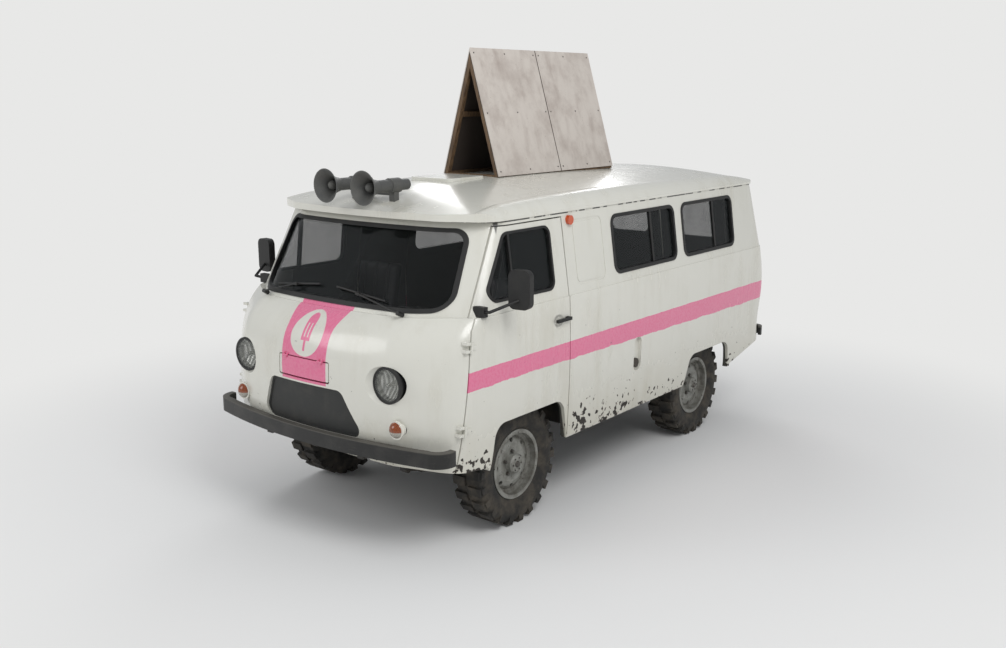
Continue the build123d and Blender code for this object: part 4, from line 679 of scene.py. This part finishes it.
# %% Assign finishes
by_slot = {
    "body_paint": body_finish, "under_paint": chassis_paint, "bumper_paint": bumper_finish,
    "wheel_paint": wheel_finish, "chrome_trim": bowl_finish, "clear_lens": lens_finish,
    "amber_lens": marker_finish, "window_glass": glass_finish, "seal_rubber": seal_rubber,
    "tyre_rubber": tyre_finish, "engine_iron": engine_iron, "exhaust_steel": exhaust_steel,
    "floor_mat": mat_rubber, "dash_paint": dash_paint, "black_plastic": black_plastic,
    "seat_vinyl": seat_vinyl, "horn_paint": horn_paint, "sign_wood": wood_finish,
    "sign_board": board_finish,
}
slot_of = {part["node"]: part["material_slot"] for part in frame["record"]["subparts"]}
by_node = {"headlamps": headlamp_finish, "grille": grille_finish}
for name, piece in nodes.items():
    for place in piece.material_slots:
        place.material = by_node.get(name, by_slot[slot_of[name]])
print(len(nodes), "model pieces finished")

# %% [markdown]
# ## Repeated hardware with Geometry Nodes
#
# Nuts, bolt heads and screws are one idea: a short prism on each of a set of points, turned to
# face the way the point says. The tree below is built once. Each use gives it a mesh of bare
# points that carry a `facing` attribute, and reads the result back as an ordinary mesh.

# %% Hardware tree
def as_evaluated(piece):
    """A new mesh of what an object's modifiers or curve settings make."""
    return bpy.data.meshes.new_from_object(piece.evaluated_get(bpy.context.evaluated_depsgraph_get()))


def add_piece(name, mesh, body, *finishes):
    """Puts a mesh in the scene as a piece that rides on a body."""
    for finish in finishes:
        mesh.materials.append(finish)
    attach(in_scene(name, mesh), body)


def hardware_tree():
    """Sets a prism on every point of a mesh, its axis along the point's facing."""
    tree = bpy.data.node_groups.new("hardware", "GeometryNodeTree")
    tree.interface.new_socket("Points", in_out="INPUT", socket_type="NodeSocketGeometry")
    for label, kind in (("Sides", "NodeSocketInt"), ("Radius", "NodeSocketFloat"),
                        ("Height", "NodeSocketFloat"), ("Taper", "NodeSocketFloat"),
                        ("Finish", "NodeSocketMaterial")):
        tree.interface.new_socket(label, in_out="INPUT", socket_type=kind)
    tree.interface.new_socket("Result", in_out="OUTPUT", socket_type="NodeSocketGeometry")
    made = {}
    for key, kind in (("given", "NodeGroupInput"), ("result", "NodeGroupOutput"),
                      ("facing", "GeometryNodeInputNamedAttribute"),
                      ("turn", "FunctionNodeAlignRotationToVector"),
                      ("head", "GeometryNodeMeshCone"), ("place", "GeometryNodeInstanceOnPoints"),
                      ("real", "GeometryNodeRealizeInstances"), ("paint", "GeometryNodeSetMaterial"),
                      ("top", "ShaderNodeMath")):
        made[key] = tree.nodes.new(kind)
    made["facing"].data_type = "FLOAT_VECTOR"
    made["facing"].inputs["Name"].default_value = "facing"
    made["turn"].axis = "Z"
    made["top"].operation = "MULTIPLY"
    join = tree.links.new
    join(made["given"].outputs["Points"], made["place"].inputs["Points"])
    join(made["facing"].outputs["Attribute"], made["turn"].inputs["Vector"])
    join(made["turn"].outputs["Rotation"], made["place"].inputs["Rotation"])
    join(made["given"].outputs["Sides"], made["head"].inputs["Vertices"])
    join(made["given"].outputs["Radius"], made["head"].inputs["Radius Bottom"])
    join(made["given"].outputs["Radius"], made["top"].inputs[0])
    join(made["given"].outputs["Taper"], made["top"].inputs[1])
    join(made["top"].outputs["Value"], made["head"].inputs["Radius Top"])
    join(made["given"].outputs["Height"], made["head"].inputs["Depth"])
    join(made["head"].outputs["Mesh"], made["place"].inputs["Instance"])
    join(made["place"].outputs["Instances"], made["real"].inputs["Geometry"])
    join(made["real"].outputs["Geometry"], made["paint"].inputs["Geometry"])
    join(made["given"].outputs["Finish"], made["paint"].inputs["Material"])
    join(made["paint"].outputs["Geometry"], made["result"].inputs["Result"])
    return tree


hardware = hardware_tree()
socket_id = {item.name: item.identifier for item in hardware.interface.items_tree
             if item.in_out == "INPUT"}


def set_hardware(name, spots, body, finish, sides, radius, height, taper=0.85):
    """One mesh of prisms standing on the spots, each a place and the way it faces."""
    points = bpy.data.meshes.new(name + "_points")
    points.from_pydata([place for place, facing in spots], [], [])
    facing_values = points.attributes.new("facing", "FLOAT_VECTOR", "POINT")
    for i, (place, facing) in enumerate(spots):
        facing_values.data[i].vector = facing
    carrier = in_scene(name + "_carrier", points)
    modifier = carrier.modifiers.new("hardware", "NODES")
    modifier.node_group = hardware
    for label, value in (("Sides", sides), ("Radius", radius), ("Height", height), ("Taper", taper),
                         ("Finish", finish)):
        modifier[socket_id[label]] = value
    carrier.update_tag()
    mesh = as_evaluated(carrier)
    bpy.data.objects.remove(carrier)
    mesh.name = name
    add_piece(name, mesh, body)
    print(name, len(spots), "pieces,", len(mesh.polygons), "faces")


# %% [markdown]
# ## Wheel nuts and hub bolts
#
# Five nuts hold each wheel and six small bolts close each hub. Their circles are centred on the
# hubs measured above.

# %% Wheel nuts
nut_steel = dusty("nut_steel", shade(96, 94, 90), shade(78, 62, 48), 0.42, scale=30.0, metallic=0.7)


def circle_of(center, radius, count, offset, side, start=0.0):
    """Spots on a circle round an axis along X."""
    spots = []
    for i in range(count):
        angle = start + 2 * math.pi * i / count
        place = (center.x + side * offset, center.y + radius * math.cos(angle),
                 center.z + radius * math.sin(angle))
        spots.append((place, (side, 0.0, 0.0)))
    return spots


disc_out, hub_out = 0.047, 0.0945  # outer faces of the disc and the hub, from the tyre's middle
for name in wheel_names:
    side, hub = wheel_side[name], hubs[name]
    body = f"wheel_{name}"
    nut_spots = circle_of(hub, 0.0765, 5, disc_out, side, 0.3)
    set_hardware(f"wheel_nuts_{name}", nut_spots, body, nut_steel, 6, 0.0125, 0.018)
    bolt_spots = circle_of(hub, 0.0405, 6, hub_out, side)
    set_hardware(f"hub_bolts_{name}", bolt_spots, body, nut_steel, 6, 0.0055, 0.006)
    cap_spot = ((hub.x + side * hub_out, hub.y, hub.z), (side, 0.0, 0.0))
    set_hardware(f"hub_cap_{name}", [cap_spot], body, nut_steel, 16, 0.022, 0.012, 0.7)

# %% [markdown]
# ## Screws on the sign
#
# Each face of the sign is two boards, and each board is screwed to the frame behind it in three
# rows of three. The slope of a face was worked out above from the sign's foot and ridge.

# %% Sign screws
board_edges = ((sign_low.y, sign_low.y + board_joint[0]), (sign_low.y + board_joint[1], sign_high.y))
along_inset, foot_inset, ridge_inset = 0.03, 0.045, 0.035
screw_lift = 0.0003
screw_spots = []
for side in (-1, 1):
    face_up = Vector((-side * math.sin(face_angle), 0.0, math.cos(face_angle)))
    face_out = Vector((side * math.cos(face_angle), 0.0, math.sin(face_angle)))
    for start, end in board_edges:
        for along in (start + along_inset, (start + end) / 2, end - along_inset):
            for up in (foot_inset, face_run / 2, face_run - ridge_inset):
                foot = Vector((side * sign_foot_x, along, sign_foot_z))
                place = foot + face_up * up + face_out * screw_lift
                screw_spots.append((tuple(place), tuple(face_out)))
set_hardware("sign_screws", screw_spots, "body", nut_steel, 10, 0.0055, 0.0022)

# %% [markdown]
# ## Lamps and small panels
#
# A few turned or flat shapes: a bulb in each headlamp, the mirror glass and a dark plate behind
# the fuel filler's opening.

# %% Turned and flat shapes
def turned(name, profile, place, axis, body, finish, steps=32):
    """Surface spun from (radius, along) points round an axis through a place."""
    mesh = bpy.data.meshes.new(name)
    build = bmesh.new()
    turn = Vector(axis).to_track_quat("Z", "Y").to_matrix().to_4x4()
    turn.translation = Vector(place)
    rings = []
    for radius, along in profile:
        if radius < 1e-6:
            rings.append([build.verts.new(turn @ Vector((0, 0, along)))])
        else:
            angles = [2 * math.pi * i / steps for i in range(steps)]
            rings.append([build.verts.new(turn @ Vector((radius * math.cos(angle),
                                                         radius * math.sin(angle), along)))
                          for angle in angles])
    for first, second in zip(rings, rings[1:]):
        for i in range(steps):
            j = (i + 1) % steps
            corners = [first[i % len(first)], first[j % len(first)],
                       second[j % len(second)], second[i % len(second)]]
            corners = list(dict.fromkeys(corners))
            if len(corners) > 2:
                build.faces.new(corners)
    bmesh.ops.recalc_face_normals(build, faces=build.faces)
    build.to_mesh(mesh)
    build.free()
    mesh.shade_smooth()
    add_piece(name, mesh, body, finish)


def slab(name, corners, normal, thickness, body, finish, bevel=0.0):
    """Flat plate from its outline's corner points, its edges rounded where a bevel is given."""
    mesh = bpy.data.meshes.new(name)
    build = bmesh.new()
    face = build.faces.new([build.verts.new(Vector(c)) for c in corners])
    pushed = bmesh.ops.extrude_face_region(build, geom=[face])
    moved = [v for v in pushed["geom"] if isinstance(v, bmesh.types.BMVert)]
    bmesh.ops.translate(build, verts=moved, vec=Vector(normal).normalized() * thickness)
    bmesh.ops.recalc_face_normals(build, faces=build.faces)
    if bevel:
        bmesh.ops.bevel(build, geom=list(build.edges), offset=bevel, segments=2, affect="EDGES",
                        profile=0.5)
    build.to_mesh(mesh)
    build.free()
    add_piece(name, mesh, body, finish)


bulb_metal = bright_metal("bulb_metal")
bulb_profile = ((0.0, -0.034), (0.009, -0.030), (0.013, -0.018), (0.012, 0.0), (0.010, 0.02),
                (0.016, 0.022), (0.016, 0.05))
for side, name in ((1, "left"), (-1, "right")):
    turned(f"headlamp_bulb_{name}", bulb_profile, (side * lamp_x, lamp_face_y + 0.03, lamp_z),
           (0, 1, 0), "body", bulb_metal, 20)


def rounded_outline(center, across, up, half_width, half_height, radius, steps=6):
    """Corner points of a rounded rectangle in the plane of two directions."""
    points = []
    for k, (sx, sz) in enumerate(((1, 1), (-1, 1), (-1, -1), (1, -1))):
        for i in range(steps + 1):
            angle = math.pi / 2 * (k + i / steps)
            u = sx * (half_width - radius) + radius * math.cos(angle)
            v = sz * (half_height - radius) + radius * math.sin(angle)
            points.append(Vector(center) + Vector(across) * u + Vector(up) * v)
    return points


mirror_glass = bright_metal("mirror_glass")
mirror_x, mirror_y, mirror_z = 1.101, aft(-0.299), 1.563
mirror_turn, mirror_depth = math.radians(8), 0.0232
for side, name in ((1, "left"), (-1, "right")):
    facing = Vector((side * math.sin(mirror_turn), -math.cos(mirror_turn), 0))
    center = Vector((side * mirror_x, mirror_y, mirror_z)) - facing * mirror_depth
    across = facing.cross(Vector((0, 0, 1)))
    outline = rounded_outline(center, across, (0, 0, 1), 0.061, 0.104, 0.034)
    slab(f"mirror_glass_{name}", outline, -facing, 0.002, f"front_door_{name}", mirror_glass)

filler_middle = (0.932, aft(1.222), 0.8725)
outline = rounded_outline(filler_middle, (0, 1, 0), (0, 0, 1), 0.058, 0.131, 0.057)
slab("filler_bowl", outline, (1, 0, 0), 0.004, "body", black_plastic)

# %% [markdown]
# ## Instruments, pedals and levers
#
# What a look through the windscreen shows: two dials behind the steering wheel, a row of toggle
# switches set by the hardware tree, three pedals and two levers on the engine cover.

# %% Cab details
dial_face = dusty("dial_face", shade(18, 18, 19), shade(60, 60, 58), 0.3, share=0.1)
dash_y, dash_facing = aft(-0.518), (0.0, 1.0, -0.25)
dial_z, switch_z = 1.32, 1.30
first_switch_x, switch_step, switch_count = 0.12, 0.035, 5
dial_profile = ((0.0, 0.004), (0.043, 0.004), (0.045, 0.008), (0.050, 0.010), (0.052, 0.006),
                (0.052, -0.012))
for i, dial_x in enumerate((0.36, 0.50)):
    turned(f"dial_{i}", dial_profile, (dial_x, dash_y, dial_z), dash_facing, "body", dial_face)
switch_spots = [((first_switch_x + switch_step * i, dash_y, switch_z), dash_facing)
                for i in range(switch_count)]
set_hardware("switches", switch_spots, "body", black_plastic, 12, 0.007, 0.022, 0.6)


def bent_rod(name, points, radius, body, finish):
    """Smooth round rod through points, closed at both ends."""
    curve = bpy.data.curves.new(name, "CURVE")
    curve.dimensions = "3D"
    curve.bevel_depth = radius
    curve.bevel_resolution = 3
    curve.use_fill_caps = True
    spline = curve.splines.new("NURBS")
    spline.points.add(len(points) - 1)
    for point, place in zip(spline.points, points):
        point.co = (*place, 1.0)
    spline.order_u = 3
    spline.use_endpoint_u = True
    carrier = in_scene(name + "_curve", curve)
    mesh = as_evaluated(carrier)
    bpy.data.objects.remove(carrier)
    mesh.name = name
    mesh.shade_smooth()
    add_piece(name, mesh, body, finish)


lever_foot_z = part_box("engine_cover")[1].z
lever_bend, lever_sink = 0.03, 0.02
knob_profile = ((0.0, 0.022), (0.012, 0.019), (0.020, 0.008), (0.020, -0.006), (0.012, -0.016),
                (0.0, -0.018))
# columns: name, x, y, length
lever_rows = (("gear_lever", 0.20, aft(-0.18), 0.26), ("range_lever", 0.25, aft(0.02), 0.17))
for name, x, y, reach in lever_rows:
    tip = (x + lever_bend, y - lever_bend, lever_foot_z + reach)
    rod = ((x, y, lever_foot_z - lever_sink), (x, y, lever_foot_z + reach * 0.5), tip)
    bent_rod(name, rod, 0.007, "body", black_paint)
    turned(name + "_knob", knob_profile, tip, (0.2, -0.2, 1), "body", black_plastic, 20)

foot_z = 0.61
pedal_up, pedal_facing = (0, 0.35, 0.94), (0, 0.94, -0.35)
for i, x in enumerate((0.33, 0.55, 0.65)):
    rod = ((x, aft(-0.80), foot_z + 0.16), (x, aft(-0.76), foot_z + 0.14), (x, aft(-0.72), foot_z + 0.09))
    bent_rod(f"pedal_arm_{i}", rod, 0.006, "body", black_paint)
    outline = rounded_outline((x, aft(-0.715), foot_z + 0.095), (1, 0, 0), pedal_up, 0.032, 0.038, 0.01)
    slab(f"pedal_pad_{i}", outline, pedal_facing, 0.012, "body", black_plastic, 0.002)

# %% [markdown]
# ## Seat pads
#
# A seat is soft, so its block is replaced by pads. Each pad is remeshed, blown up a little by the
# cloth solver with its movement capped, and given one subdivision. Sewn lines are pressed in after.

# %% Seat pads
cloth_frames = 20


def padded_block(name, low, high, lean, swell):
    """A cushion from a box, turned by an angle about its own lower rear edge, then blown up."""
    mesh = bpy.data.meshes.new(name)
    build = bmesh.new()
    bmesh.ops.create_cube(build, size=1.0)
    size = Vector(high) - Vector(low)
    center = (Vector(high) + Vector(low)) / 2
    for vert in build.verts:
        vert.co = Vector((vert.co.x * size.x, vert.co.y * size.y, vert.co.z * size.z)) + center
    bmesh.ops.bevel(build, geom=list(build.edges), offset=min(size) * 0.3, segments=3, affect="EDGES",
                    profile=0.6)
    pivot = Vector((center.x, high[1], low[2]))
    bmesh.ops.rotate(build, verts=build.verts, cent=pivot, matrix=Matrix.Rotation(lean, 3, "X"))
    build.to_mesh(mesh)
    build.free()
    piece = in_scene(name, mesh)
    remesh = piece.modifiers.new("remesh", "REMESH")
    remesh.mode = "VOXEL"
    remesh.voxel_size = 0.009
    even = as_evaluated(piece)
    piece.modifiers.clear()
    piece.data = even
    start = [v.co.copy() for v in even.vertices]
    cloth = piece.modifiers.new("cloth", "CLOTH")
    cloth.settings.use_pressure = True
    cloth.settings.uniform_pressure_force = 4.0
    cloth.settings.effector_weights.gravity = 0.0
    cloth.settings.quality = 4
    for frame_number in range(1, cloth_frames + 1):
        bpy.context.scene.frame_set(frame_number)
    swollen = as_evaluated(piece)
    piece.modifiers.clear()
    for vert, before in zip(swollen.vertices, start):
        move = vert.co - before
        if move.length > swell:
            vert.co = before + move.normalized() * swell
    piece.data = swollen
    bpy.context.scene.frame_set(1)
    return piece


def press_lines(piece, places, depth, width, direction):
    """Divides a pad once, then presses sewn lines into the side that faces a direction."""
    divide = piece.modifiers.new("divide", "SUBSURF")
    divide.levels = divide.render_levels = 1
    finer = as_evaluated(piece)
    piece.modifiers.clear()
    piece.data = finer
    inward = Vector(direction).normalized()
    pushes = []
    for vert in finer.vertices:
        faces_it = max(0.0, vert.normal.dot(inward)) ** 2
        near = max(math.exp(-((vert.co.x - place) / width) ** 2) for place in places)
        pushes.append(inward * faces_it * near * depth)
    for vert, push in zip(finer.vertices, pushes):
        vert.co -= push
    finer.shade_smooth()


def steel_box(name, low, high, body, finish, bevel=0.01):
    """Pressed box with rounded edges, for frames and bases."""
    mesh = bpy.data.meshes.new(name)
    build = bmesh.new()
    bmesh.ops.create_cube(build, size=1.0)
    for vert in build.verts:
        vert.co = Vector([(low[k] + high[k]) / 2 + vert.co[k] * (high[k] - low[k]) for k in range(3)])
    bmesh.ops.bevel(build, geom=list(build.edges), offset=bevel, segments=3, affect="EDGES", profile=0.5)
    build.to_mesh(mesh)
    build.free()
    add_piece(name, mesh, body, finish)


seat_low, seat_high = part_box("seats")
seat_x, seat_z = 0.59, seat_low.z
back_lean, swell = 0.19, 0.009
line_step, line_depth, line_width = 0.11, 0.006, 0.006
for side, name in ((1, "left"), (-1, "right")):
    x = side * seat_x
    lines = (x - line_step, x, x + line_step)
    cushion = padded_block(f"seat_cushion_{name}", (x - 0.203, seat_low.y + 0.010, seat_z + 0.070),
                           (x + 0.203, aft(0.258), seat_z + 0.150), 0.0, swell)
    press_lines(cushion, lines, line_depth, line_width, (0, 0, 1))
    back = padded_block(f"seat_back_{name}", (x - 0.190, aft(0.172), seat_z + 0.165),
                        (x + 0.190, aft(0.236), seat_high.z - 0.022), -back_lean, swell)
    press_lines(back, lines, line_depth, line_width, (0, -1, back_lean))
    for pad in (cushion, back):
        pad.data.materials.clear()
        pad.data.materials.append(seat_vinyl)
        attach(pad, "body")
        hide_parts("seats")
        print(pad.name, len(pad.data.polygons), "faces")
    steel_box(f"seat_base_{name}", (x - 0.185, seat_low.y + 0.03, seat_z),
              (x + 0.185, aft(0.21), seat_z + 0.066), "body", black_paint)
    steel_box(f"seat_spine_{name}", (x - 0.16, aft(0.20), seat_z + 0.05),
              (x + 0.16, aft(0.235), seat_z + 0.20), "body", black_paint, 0.006)

# %% [markdown]
# ## Floor and light
#
# A pale floor that runs up into a pale backdrop, three broad soft lamps and an even sky keep the
# paint's own colour.

# %% Floor and light
backdrop = shade(232, 232, 231)
floor_paint = Finish("floor")
far = floor_paint.smooth(floor_paint.length(floor_paint.x, floor_paint.y), 2.0, 5.4)
black = (0.0, 0.0, 0.0, 1.0)
floor_paint.finish(floor_paint.blend(shade(236, 236, 235), black, far), 0.95, Specular_IOR_Level=0.0,
                   Emission_Color=floor_paint.blend(black, backdrop, far), Emission_Strength=1.0)
floor_mesh = bpy.data.meshes.new("floor_sheet")
builder = bmesh.new()
bmesh.ops.create_grid(builder, x_segments=1, y_segments=1, size=60.0)
builder.to_mesh(floor_mesh)
builder.free()
floor_sheet = in_scene("floor_sheet", floor_mesh)
floor_sheet.location.z = -0.001
floor_mesh.materials.append(floor_paint.material)

world = bpy.data.worlds.new("world")
bpy.context.scene.world = world
world.use_nodes = True
sky = world.node_tree
sky.nodes.clear()
light_path = sky.nodes.new("ShaderNodeLightPath")
shown = sky.nodes.new("ShaderNodeBackground")
shown.inputs["Color"].default_value = backdrop
lighting = sky.nodes.new("ShaderNodeBackground")
lighting.inputs["Color"].default_value = (0.95, 0.97, 1.0, 1.0)
lighting.inputs["Strength"].default_value = 0.5
choose = sky.nodes.new("ShaderNodeMixShader")
sky_output = sky.nodes.new("ShaderNodeOutputWorld")
sky.links.new(light_path.outputs["Is Camera Ray"], choose.inputs["Fac"])
sky.links.new(lighting.outputs["Background"], choose.inputs[1])
sky.links.new(shown.outputs["Background"], choose.inputs[2])
sky.links.new(choose.outputs["Shader"], sky_output.inputs["Surface"])

# columns: name, place, aimed at, width, power
lamp_rows = (
    ("key_lamp", (5.5, -3.0, 6.5), (0, 0, 1.0), 4.0, 240.0),
    ("front_lamp", (-3.5, -7.0, 4.5), (0, -1.0, 1.0), 4.0, 110.0),
    ("back_lamp", (-4.0, 5.5, 5.0), (0, 0.5, 1.0), 4.0, 130.0),
)
for name, place, target, width, power in lamp_rows:
    lamp_data = bpy.data.lights.new(name, "AREA")
    lamp_data.shape = "DISK"
    lamp_data.size = width
    lamp_data.energy = power
    lamp = in_scene(name, lamp_data)
    lamp.location = place
    lamp.rotation_euler = (Vector(target) - Vector(place)).to_track_quat("-Z", "Y").to_euler()

bpy.context.scene.view_settings.view_transform = "Standard"
